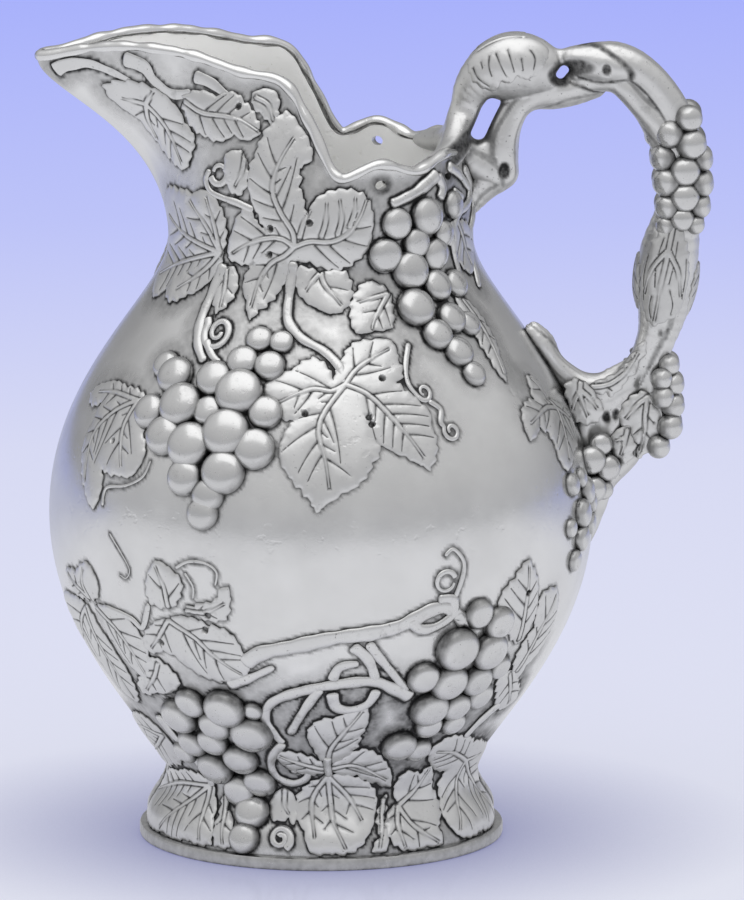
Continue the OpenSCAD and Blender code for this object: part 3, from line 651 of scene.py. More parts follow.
def add_leaf(shape, place, outline, veins, pits=(), cuts=(), thick=1.05, edge=0.7, tooth=1.0, pitch=3.7, sink=-0.5):
    """One leaf in flat millimetres, laid in place: toothed edge, ribs between grooves, incised side veins."""
    polygon = toothed(outline, tooth, pitch)
    mains = [evenly(smooth(v, 12), VEIN_STEP) for v in veins]
    sides, widths = side_veins(mains, polygon)
    if cuts:
        sides = [evenly(smooth(c, 12), VEIN_STEP) for c in cuts]
        widths = [np.linspace(0.75, 0.4, len(s)) for s in sides]
    tangent = unit(np.roll(polygon, -1, 0) - np.roll(polygon, 1, 0))
    out = np.stack([tangent[:, 1], -tangent[:, 0]], 1)
    low, high = polygon.min(0), polygon.max(0)
    gx, gy = np.meshgrid(np.arange(low[0], high[0], LEAF_GRID_X), np.arange(low[1], high[1], LEAF_GRID_Y))
    gx = gx + 0.5 * LEAF_GRID_X * (np.arange(len(gx)) % 2)[:, None]
    features = [polygon - out * row for row in EDGE_ROWS]
    features += [offsets_of(m, RIB_ROWS) for m in mains]
    features += [offsets_of(s, CUT_ROWS) for s in sides]
    for pit in pits:
        a = np.linspace(0, 2 * np.pi, 10, endpoint=False)
        ring = np.stack([np.cos(a), np.sin(a)], 1)
        features += [np.array(pit) + ring * r for r in PIT_RINGS] + [np.array([pit])]
    inner = thin_out(np.vstack(features), ROW_GAP)
    fill = np.stack([gx.ravel(), gy.ravel()], 1)
    fill = fill[nearest(fill, inner)[0] > FILL_GAP]
    inner = np.vstack([inner, fill])
    inner = inner[inside(inner, polygon)]
    inner = inner[nearest(inner, polygon)[0] > EDGE_GAP]
    points = [Vector(p) for p in np.vstack([polygon, inner])]
    n = len(polygon)
    flat, _, faces, _, _, _ = delaunay_2d_cdt(points, [(i, (i + 1) % n) for i in range(n)], [], 1, 1e-4)
    flat = np.array([(v[0], v[1]) for v in flat])

    to_edge = nearest(flat, polygon)[0]
    to_main, which = nearest(flat, np.vstack(mains))
    share = np.concatenate([np.linspace(0, 1, len(m)) for m in mains])[which]
    if sides:
        to_side, which = nearest(flat, np.vstack(sides))
        width = np.concatenate(widths)[which]
    else:
        to_side, width = np.full(len(flat), FAR), np.ones(len(flat))
    rib_w = blend(0.5, 0.25, share)
    rib = np.exp(-(to_main / rib_w) ** 2)
    groove = np.exp(-((to_main - 1.9 * rib_w) / (0.55 * rib_w)) ** 2)
    cut = np.exp(-(to_side / (0.42 * width)) ** 2) * smoothstep(0.3, 0.9, to_main)
    dent = np.zeros(len(flat))
    if len(pits):
        dent = smoothstep(1.25, 0.6, nearest(flat, np.array(pits, float))[0])
    pillow = 0.2 * smoothstep(0, 2.4, np.minimum(to_side, to_main)) * smoothstep(0, 2.0, to_edge)
    body = blend(edge, thick, smoothstep(0, 5, to_edge)) - 0.3 * (1 - smoothstep(0, 0.7, to_edge))
    height = body + 0.22 * rib - 0.18 * groove - 0.15 * cut + pillow - 1.1 * dent
    patina = np.clip(1.15 * groove + 1.2 * cut + 1.2 * dent + 0.35 * (1 - smoothstep(0, 0.6, to_edge)), 0, 1)

    edges = set()
    for f in faces:
        edges.update(((f[0], f[1]), (f[1], f[2]), (f[2], f[0])))
    under = len(flat)
    top = place(flat[:, 0], flat[:, 1], height)
    base = place(flat[:, 0], flat[:, 1], np.full(under, sink))
    walls = sorted((b, a, a + under, b + under) for a, b in edges if (b, a) not in edges)
    bottom = [tuple(v + under for v in f[::-1]) for f in faces]
    patina = np.concatenate([patina, np.full(under, UNDER_PATINA)])
    shape.add(np.vstack([top, base]), list(faces) + walls + bottom, patina)


def skin_leaf(shape, outline, veins, pits=(), **kind):
    """A leaf whose outline, veins and pits are given on the skin; its heart is where the first vein starts."""
    around, up = veins[0][0]
    run = float(run_of(up))

    def flat(places):
        p = np.array(places, float).reshape(-1, 2)
        return np.stack([np.radians(p[:, 0] - around) * skin_r(90 - around, p[:, 1]), run_of(p[:, 1]) - run], 1)
    add_leaf(shape, skin_map(around, up), flat(outline), [flat(v) for v in veins], [tuple(q) for q in flat(pits)],
             **kind)


# Grapes

BALL_ROWS, BALL_COLUMNS = 16, 28


def add_ball(shape, centre, normal, r, flatten=1.0, deepest=0.86, fullness=2.0, dull_and_shade=0.4):
    """A smooth grape, rounded off below where it sits.

    A higher fullness makes it blunter, and the last argument is the darkening round its edge and underneath: painted
    shade, as a lit ball has, with tarnish where it sits.
    """
    n = unit(np.asarray(normal, float))
    e1 = unit(np.cross(n, [0.3, 0.2, 1.0]))
    e2 = np.cross(n, e1)
    theta = np.linspace(0.06, np.pi * deepest, BALL_ROWS)
    phi = np.linspace(0, 2 * np.pi, BALL_COLUMNS, endpoint=False)
    k = 2 / fullness
    up, out = np.sign(np.cos(theta)) * np.abs(np.cos(theta)) ** k, np.sin(theta) ** k
    rings = [centre + r * (flatten * up[i] * n
                           + out[i] * (np.cos(phi)[:, None] * e1 + np.sin(phi)[:, None] * e2))
             for i in range(BALL_ROWS)]
    points = np.vstack(rings + [centre + r * flatten * n, rings[-1].mean(0)])
    top, last = len(points) - 2, len(points) - 2 - BALL_COLUMNS
    faces = [f[::-1] for f in grid_faces(BALL_ROWS, BALL_COLUMNS)]
    for j in range(BALL_COLUMNS):
        k = (j + 1) % BALL_COLUMNS
        faces += [(top, j, k), (top + 1, last + k, last + j)]
    # painted shade: darker towards the grape's edge and on its underside
    shade = dull_and_shade * np.where(theta > np.pi / 2, 1.0, smoothstep(0.6, 0.98, np.sin(theta)))
    shape.add(points, faces, np.concatenate([np.repeat(shade, BALL_COLUMNS), [0.0, dull_and_shade]]))


def grape_bunch(grapes, fat, dull_and_shade):
    """Grapes seated on the skin; the larger ones stand further off it."""
    shape = Shape()
    for around, up, r in grapes:
        a, run = np.array(float(around)), run_of(np.array(float(up)))
        n = skin_normal(a, run)
        centre = skin_point(a, run) + n * 0.03 * r * r
        add_ball(shape, centre, n, r * fat, flatten=0.58, fullness=2.35, dull_and_shade=dull_and_shade)
    return shape


# Vines and tendrils on the skin

def add_vine(shape, route, w=VINE_W, h=VINE_H, end_share=0.6):
    """A stem that lies on the skin and thins from its start to its end, a little uneven on the way."""
    path = smooth([(a, float(run_of(z))) for a, z in route], 10)
    centre = skin_point(path[:, 0], path[:, 1])
    normal = skin_normal(path[:, 0], path[:, 1])
    t = unit(np.gradient(centre, axis=0))
    side = unit(np.cross(t, normal))
    share = np.linspace(1, end_share, len(path))
    run = np.concatenate([[0], np.cumsum(np.linalg.norm(np.diff(centre, axis=0), axis=1))])
    share = share * (1 + 0.08 * np.sin(run / 2.9) + 0.05 * np.sin(run / 1.1 + 1))
    share[:2] *= (0.55, 0.85)
    share[-2:] *= (0.8, 0.45)
    a = np.linspace(0, 2 * np.pi, 16, endpoint=False)
    rings = [centre[i] + ((np.cos(a) * 0.5 + 0.1) * h * share[i])[:, None] * normal[i]
             + (np.sin(a) * w * share[i])[:, None] * side[i] for i in range(len(path))]
    shape.add(*capped(rings))


def curl(around, up, r, start, sweep, points=13, close=0.55):
    """Places on a spiral that winds in towards its middle."""
    k = np.linspace(0, 1, points)
    a = np.radians(start + sweep * k)
    rr = r * (1 - close * k)
    x = np.degrees(rr * np.cos(a) / float(skin_r(90 - around, up)))
    return list(zip(around + x, up + rr * np.sin(a)))


# Handle: a form grown from thick strands, run together and pierced

SQUASH = 0.88
# x, z and radius along each strand, in the plane of the handle
STRANDS = {
    "stem": [(36.5, 209.5, 2.6), (39.5, 216, 3.8), (42.6, 223, 4.2), (44.8, 229.3, 4.4), (47, 235.5, 6.0),
             (52, 240.5, 8.4), (58.5, 243.4, 10.2), (64.5, 243.6, 9.6), (69.5, 241.5, 7.2), (73, 240, 5.0)],
    "arm": [(104.5, 232.5, 5.6), (108, 227.5, 6.8), (110.8, 220, 7.2), (112, 212, 6.8), (112, 203, 6.6),
            (111, 195, 7.4), (108.6, 185, 9.2), (107.3, 175, 9.2), (106.4, 167, 7.8), (104.4, 158, 6.0),
            (100.5, 150.5, 4.8), (95, 145, 4.4), (88, 141.5, 4.6), (81, 138.5, 6.0)],
    "inner": [(56.4, 210.5, 5.2), (56, 216.5, 5.8), (56.8, 222, 5.4), (58.8, 227.5, 4.8), (61.5, 231.6, 4.6),
              (66, 234, 4.5), (72, 234.8, 4.7), (79, 236, 4.4), (85, 237, 3.4)],
    "beak": [(70, 246.2, 2.8, 0), (75, 246.6, 2.4, 0.4), (80, 245.4, 4.6, 1.4), (86, 244.6, 5.8, 2.0),
             (91, 243.6, 4.6, 3.4), (94.6, 242.7, 3.2, 4.2), (97, 242.2, 2.0, 4.6)],
    "crest": [(82, 246.6, 3.4, 0.6), (86.5, 247.2, 3.7, 1.4), (91.5, 246.4, 4.6, 2.0), (97.5, 243.4, 5.1, 2.4),
              (104, 237.6, 5.1, 2.2), (109.5, 229.5, 5.2, 1.8), (112.5, 221, 5.4, 1)],
    "under": [(80, 239.8, 3.4, 0.8), (86, 239.4, 3.6, 1.5), (91.5, 239.4, 4.2, 2.0), (95.5, 237.2, 4.7, 2.4),
              (100.5, 231.5, 4.7, 2.4), (105, 224.5, 4.7, 2.2), (108.5, 217, 4.8, 1.5)],
    "joint": [(43, 219, 5.6), (48, 214, 6.4), (53, 209.5, 5.4), (49.2, 205, 4.8), (45.5, 199.5, 3.4)],
    "leg": [(44.5, 228, 4.3, 0), (42.6, 222.5, 4.6, 6), (40.5, 218.6, 4.4, 13), (36.5, 216.6, 3.9, 22),
            (31.5, 215.8, 3.2, 31), (26, 216.2, 2.2, 37)],
    "hook": [(95, 145, 4.2), (88, 142, 4.2), (81.5, 142.6, 4.4), (76.2, 146.3, 3.8), (72.4, 150.6, 3.4),
             (69.2, 156, 3.8), (66.2, 159.8, 2.8)],
    "web": [(104, 155, 4.2), (103.6, 147, 4.0), (103.6, 139, 3.8), (100, 128, 3.6), (96, 119.6, 3.2),
            (89.6, 112, 2.7), (86.8, 104, 2.2), (85.2, 98, 1.7), (83.4, 93, 1.1)],
    "web_fill": [(96, 142, 3.4), (91.4, 132, 4.2), (89, 121, 3.2)],
    "web_root": [(87, 137, 4.2), (82.8, 130, 4.4), (83.6, 122, 3.6), (85.4, 113, 2.8), (85.6, 105, 2.2)],
}
GROOVED = ("arm", "inner", "joint", "under", "hook")
GROOVE_DEPTH = 0.28
CREVICE_REACH = 3.2
ARM_STEPS = 12
CREASED = ("inner", "beak", "crest", "under")
SLOT = ((53.2, 231.6), (48.8, 222.4), 2.1)
EYE = ((74.5, 241.0), (75.5, 242.4), 1.4)
# small dents: x, depth, z and radius
KNOTS = ((57.2, 5.4, 211.0, 1.9), (88.7, 7.6, 243.4, 1.2), (106.0, 6.4, 159.6, 1.1), (108.4, 5.6, 160.2, 0.9),
         (89.0, 3.8, 133.0, 1.2), (92.0, 3.8, 134.0, 1.0))


def segment_distance(px, pz, a, b):
    t = ((px - a[0]) * (b[0] - a[0]) + (pz - a[1]) * (b[1] - a[1])) / ((b[0] - a[0]) ** 2 + (b[1] - a[1]) ** 2)
    t = np.clip(t, 0, 1)
    return np.hypot(px - a[0] - t * (b[0] - a[0]), pz - a[1] - t * (b[1] - a[1])), t


def soft_least(a, b, k):
    h = np.maximum(k - np.abs(a - b), 0) / k
    return np.minimum(a, b) - h * h * k / 4


def strand_distance(path, x, y, z):
    """Distance to one strand's surface, and the grooves that wind along it, from -1 in a groove to 1."""
    best = grooves = None
    run = 0.0
    side = np.abs(y)
    for a, b in zip(path[:-1], path[1:]):
        axis = np.array([b[0] - a[0], b[3] - a[3], b[1] - a[1]])
        length = np.linalg.norm(axis)
        t = np.clip(((x - a[0]) * axis[0] + (side - a[3]) * axis[1] + (z - a[1]) * axis[2]) / length ** 2, 0, 1)
        off = (side - a[3] - t * axis[1]) / SQUASH
        r = a[2] + (b[2] - a[2]) * t
        d = np.sqrt((x - a[0] - t * axis[0]) ** 2 + (z - a[1] - t * axis[2]) ** 2 + off ** 2) - r
        across = ((x - a[0]) * (a[1] - b[1]) + (z - a[1]) * (b[0] - a[0])) / length
        s = run + t * length
        wind = np.sin(3 * np.arctan2(off, across) + 0.1 * s + 0.9 * np.sin(0.21 * s)) * smoothstep(9.4, 7.6, r)
        if best is None:
            best, grooves = d, wind + 0 * d
        else:
            closer = d < best
            grooves = np.where(closer, wind, grooves)
            best = np.where(closer, d, best)
        run += length
    return best, grooves


def handle_field(x, y, z):
    """Signed distance to the handle's surface, less than nothing inside it, and the tarnish in its grooves, creases,
    slot, eye and dents.
    """
    field = grooves = nearest_strand = None
    first, second = 99.0, 99.0
    for name, strand in STRANDS.items():
        path = smooth([(*p, 0)[:4] for p in strand], 3)
        d, wind = strand_distance(path, x, y, z)
        if name not in GROOVED:
            wind = 0 * wind
        if field is None:
            field, grooves, nearest_strand = d, wind, d
        else:
            grooves = np.where(d < nearest_strand, wind, grooves)
            nearest_strand = np.minimum(d, nearest_strand)
            field = soft_least(field, d, 1.2 if name in CREASED else 3.0)
        if name in CREASED:
            second = np.minimum(np.maximum(first, d), second)
            first = np.minimum(first, d)
    field = field - GROOVE_DEPTH * grooves
    patina = np.maximum(0.6 * smoothstep(-0.74, -1.0, grooves),
                        0.9 * smoothstep(1.0, 0.25, second - first + 0.5 * np.abs(first)))
    for (a, b, r), flare, lean in ((SLOT, 0.02, 0), (EYE, 0.10, 0.06)):
        cut = segment_distance(x - lean * y ** 2, z, a, b)[0] - r - flare * y ** 2
        field = -soft_least(-field, cut, 1.6)
        patina = np.maximum(patina, 0.9 * smoothstep(1.4, 0.2, cut))
    for kx, ky, kz, kr in KNOTS:
        dent = np.sqrt((x - kx) ** 2 + (np.abs(y) - ky) ** 2 + ((z - kz) / 1.5) ** 2) - kr
        patina = np.maximum(patina, smoothstep(0.6, 0.0, dent))
        field = -soft_least(-field, dent, 1.0)
    return field, patina


def surface_net(field, origin, step):
    """Points and faces of the surface where a field of values on a grid changes sign."""
    solid = field < 0
    n = np.array(field.shape) - 1
    corner = [np.array(c) for c in np.ndindex(2, 2, 2)]
    count = sum(solid[c[0]:n[0] + c[0], c[1]:n[1] + c[1], c[2]:n[2] + c[2]].astype(int) for c in corner)
    mixed = (count > 0) & (count < 8)
    index = np.full(mixed.shape, -1)
    index[mixed] = np.arange(mixed.sum())
    cells = np.argwhere(mixed)
    total, hits = np.zeros((len(cells), 3)), np.zeros(len(cells))
    for c in corner:
        for axis in range(3):
            if c[axis]:
                continue
            step_on = np.eye(3, dtype=int)[axis]
            fa, fb = field[tuple((cells + c).T)], field[tuple((cells + c + step_on).T)]
            cross = (fa < 0) != (fb < 0)
            t = np.where(cross, fa / np.where(cross, fa - fb, 1), 0)
            total[cross] += (c + t[:, None] * step_on)[cross]
            hits += cross
    points = origin + step * (cells + total / hits[:, None])
    faces = []
    for axis in range(3):
        u, v = (axis + 1) % 3, (axis + 2) % 3
        ahead = [slice(None)] * 3
        behind = [slice(None)] * 3
        ahead[axis], behind[axis] = slice(1, None), slice(None, -1)
        change = solid[tuple(behind)] != solid[tuple(ahead)]
        edge = np.argwhere(change)
        edge = edge[(edge[:, u] > 0) & (edge[:, v] > 0) & (edge[:, u] < n[u]) & (edge[:, v] < n[v])]
        eu, ev = np.eye(3, dtype=int)[u], np.eye(3, dtype=int)[v]
        quad = np.stack([index[tuple((edge - k).T)] for k in (eu * 0, eu, eu + ev, ev)], 1)
        filled = solid[tuple(edge.T)]
        quad[filled] = quad[filled][:, ::-1]
        faces.append(quad[:, ::-1])
    return points, np.vstack(faces)


def mirrored_add(shape, build):
    """Add one half and its mirror image to the same shape."""
    half = Shape()
    build(half)
    points, patina = np.vstack(half.points), np.concatenate(half.patina)
    shape.add(points, half.faces, patina)
    shape.add(points * (1, -1, 1), [f[::-1] for f in half.faces], patina)


def arm_map(first, angle):
    """A map for leaves laid round a strand: x round it, y along it; angle 0 is outside.

    The leaf's middle is at the station first of the arm, or, where first is negative, of the stem.
    """
    path = smooth(STRANDS["arm" if first >= 0 else "stem"], ARM_STEPS)
    centre = np.stack([path[:, 0], np.zeros(len(path)), path[:, 1]], 1)
    t = unit(np.gradient(centre, axis=0))
    outer = np.stack([-t[:, 2], np.zeros(len(path)), t[:, 0]], 1)
    run = np.concatenate([[0], np.cumsum(np.linalg.norm(np.diff(centre, axis=0), axis=1))])
    start = np.interp(abs(first), np.arange(len(path)) / ARM_STEPS, run)

    def at(y, column):
        return np.interp(start + y, run, column)

    def place(x, y, h):
        r = at(y, path[:, 2])
        a = math.radians(angle) + x / (r + 1.0)
        c = np.stack([at(y, centre[:, i]) for i in range(3)], -1)
        o = unit(np.stack([at(y, outer[:, i]) for i in range(3)], -1))
        out = np.cos(a)[..., None] * o + SQUASH * np.sin(a)[..., None] * np.array([0, -1.0, 0])
        return c + out * (r + h)[..., None]
    return place


# near half of the grapes on the grip: x, z and radius
GRIP_GRAPES = [(114.6, 228.0, 3.9), (108.3, 223.0, 4.2), (103.0, 222.5, 3.6), (115.4, 219.8, 4.5),
               (105.8, 215.4, 4.1), (113.2, 211.4, 4.5), (119.4, 214.6, 3.4), (107.2, 207.9, 4.4),
               (119.2, 207.0, 3.8), (113.2, 203.2, 4.4), (118.6, 200.0, 3.4), (107.4, 200.0, 3.8),
               (112.4, 196.4, 3.6), (107.0, 194.0, 3.2), (117.0, 194.4, 2.8)]
GRIP_CENTRE_X, GRIP_HALF_W, GRIP_DEPTH = 112.0, 9.0, 7.0
# x, y, z and radius of the balls outside the fork, near half
FORK_GRAPES = [(108.6, -3.0, 149.6, 3.2), (106.2, -5.5, 145.6, 3.3), (109.8, -2.5, 143.4, 3.5),
               (106.6, -6.0, 139.8, 3.4), (109.8, -3.5, 136.8, 3.6), (109.0, -4.5, 130.4, 3.8),
               (105.4, -4.5, 124.0, 3.5)]
# balls of the drop bunch that hang beside the bowl rather than on it
ROOT_GRAPES = [(87.4, -7.0, 125.2, 3.6), (84.4, -9.0, 120.6, 4.6), (89.4, -6.0, 117.6, 4.2), (88.2, -5.0, 110.4, 3.2),
               (84.8, -8.0, 111.2, 4.4)]


def crevice_and_underside_shade_of(points, faces):
    """How far the handle's surface is shut in at each point, from 0 to 1, with painted shade added on its underside.
    """
    a, b, c = (points[faces[:, k]] for k in range(3))
    normal = np.zeros_like(points)
    for k in range(4):
        np.add.at(normal, faces[:, k], np.cross(b - a, c - a))
    normal = unit(normal)
    clear = handle_field(*(points + CREVICE_REACH * normal).T)[0] / CREVICE_REACH
    shut = 0.8 * smoothstep(0.92, 0.3, clear) * smoothstep(39, 46, points[:, 0])
    # painted shade: surfaces that face downwards are darkened
    return np.maximum(shut, 0.38 * smoothstep(0.1, -0.8, normal[:, 2]))


# how finely the handle is sampled, and the corners of the sampled box on one side of its middle plane
HANDLE_STEP = 0.62
HANDLE_LOW, HANDLE_HIGH = np.array([22.0, 0.5 * HANDLE_STEP, 89.0]), np.array([123.0, 41.0, 256.0])
# past this depth there are only the legs, within this length and between these heights over the box's bottom
BRANCH_DEPTH = 11
LEG_LENGTH, LEG_BOTTOM, LEG_TOP = 28, 117, 143
BLOCK = 10


def build_branches():
    axes = [np.arange(HANDLE_LOW[i], HANDLE_HIGH[i], HANDLE_STEP) for i in range(3)]
    half = np.full([len(a) for a in axes], FAR)
    middle = int(BRANCH_DEPTH / HANDLE_STEP)
    legs = (slice(0, int(LEG_LENGTH / HANDLE_STEP)), slice(middle, None),
            slice(int(LEG_BOTTOM / HANDLE_STEP), int(LEG_TOP / HANDLE_STEP)))
    blocks = [(slice(i, i + BLOCK), slice(0, middle), slice(None)) for i in range(0, len(axes[0]), BLOCK)] + [legs]
    for block in blocks:
        x, y, z = (axes[k][block[k]] for k in range(3))
        half[block] = handle_field(x[:, None, None], y[None, :, None], z[None, None, :])[0]
    both = np.concatenate([half[:, ::-1], half], 1)
    points, faces = surface_net(both, np.array([HANDLE_LOW[0], -axes[1][-1], HANDLE_LOW[2]]), HANDLE_STEP)
    shape = Shape()
    shape.add(points, faces.tolist(), np.maximum(handle_field(*points.T)[1], crevice_and_underside_shade_of(points, faces)))
    shape.build("handle_branch_bark", ["handle_branch", "handle_inner_branch"], VINE, "vine_metal", sharp=ROUND_SHARP)


# leaves on the handle in flat millimetres: x round the strand, y along it
THUMB_LEAF = [(-9, -7), (-3, -9.5), (3, -10), (8, -7), (6, -3), (8, 0), (5.5, 3), (7, 6.5), (4, 10), (-1, 10.5),
              (-6, 10), (-9, 6)]
THUMB_VEINS = [[(-8.5, -5), (-8.7, 0), (-8.5, 5)]]
THUMB_CUTS = [[(-3, -8), (1, -8.6), (5, -7.6)], [(-3, -5.6), (-1, -6)], [(-3.1, -3.2), (0, -4.4), (3.2, -5)],
              [(-2.9, -1.4), (1.5, -1.2), (4.6, -0.8)], [(-3.2, 1.4), (1.2, 1.8), (4.2, 2.2)],
              [(0.4, 4.4), (3.8, 5.0)], [(-3, 6.4), (-0.5, 7.6), (2.6, 8)]]
WRAP_LEAF = [(0, -16), (5.5, -11), (8, -3), (8.5, 6), (6, 13), (2, 17), (-2, 14.5), (-6, 12), (-8.5, 4), (-8, -5),
             (-5, -12)]
WRAP_VEINS = [[(0.5, -15), (0, -5), (1, 5), (1.5, 15)], [(0, -8), (4.5, -1), (6, 6)], [(0, -8), (-4, -2), (-6, 6)]]
WRAP_CUTS = [[(2.4, -11), (3.0, -3), (2.6, 4)], [(-2.2, -11), (-2.6, -5), (-1.8, 2)], [(6.6, -5), (7.2, 1), (6.4, 9)],
             [(-6.6, -6), (-7.2, 0), (-6.8, 7)], [(3.4, 7), (3.8, 11), (2.6, 15)], [(-2.4, 5), (-3.6, 9), (-3.4, 12)]]
SIDE_LEAF = [(0, -9), (4, -5), (5, 2), (2, 9), (-2, 9), (-5, 2), (-4, -5)]
SIDE_VEINS = [[(0, -8), (0, 0), (0.5, 7)]]
# the handle's wrap leaves are darkened all over to at least this much
WRAP_DARKENING = 0.18


def build_handle_leaves():
    thumb = Shape()
    mirrored_add(thumb, lambda half: add_leaf(half, arm_map(-5.9, 70), THUMB_LEAF, THUMB_VEINS, cuts=THUMB_CUTS,
                                              thick=0.8, edge=0.8, sink=-1.2, tooth=0.7))
    thumb.build("thumb_leaf_relief", ["thumb_leaf"], LEAF, "leaf_metal")

    wrap = Shape()
    for angle in (95, -95):
        add_leaf(wrap, arm_map(6.6, angle), WRAP_LEAF, WRAP_VEINS, cuts=WRAP_CUTS, thick=1.1, edge=0.7, sink=-1.4)
    for angle in (0, 180):
        add_leaf(wrap, arm_map(7.0, angle), SIDE_LEAF, SIDE_VEINS, thick=0.9, edge=0.5, sink=-1.4)
    wrap.patina = [np.maximum(p, WRAP_DARKENING) for p in wrap.patina]
    wrap.build("handle_leaf_wrap_relief", ["handle_leaf_wrap"], LEAF, "leaf_metal")


def grip_half(half):
    for x, z, r in GRIP_GRAPES:
        off = (x - GRIP_CENTRE_X) / GRIP_HALF_W
        y = -GRIP_DEPTH * math.sqrt(max(0.02, 1 - min(off * off, 1)))
        add_ball(half, np.array([x - 0.1 * (x - GRIP_CENTRE_X), y * 0.8, z]), (off * 1.4, y / GRIP_DEPTH, 0.05),
                 r * 1.1, flatten=0.85, fullness=2.3, dull_and_shade=0.6)


def fork_half(half):
    for x, y, z, r in FORK_GRAPES:
        add_ball(half, np.array([x, y, z]), (0.75, -0.66, 0.05), r * 1.08, flatten=0.9, deepest=0.96, fullness=2.2)


def build_handle_bunches():
    for name, half in (("handle_bunch", grip_half), ("fork_bunch", fork_half)):
        shape = Shape()
        mirrored_add(shape, half)
        shape.build(f"{name}_grapes", [name], GRAPE, "grape_metal", sharp=ROUND_SHARP)


# Ornament of one side, made on the front and mirrored to the back.
# Each leaf is its outline, its main veins from the heart, and its pits.

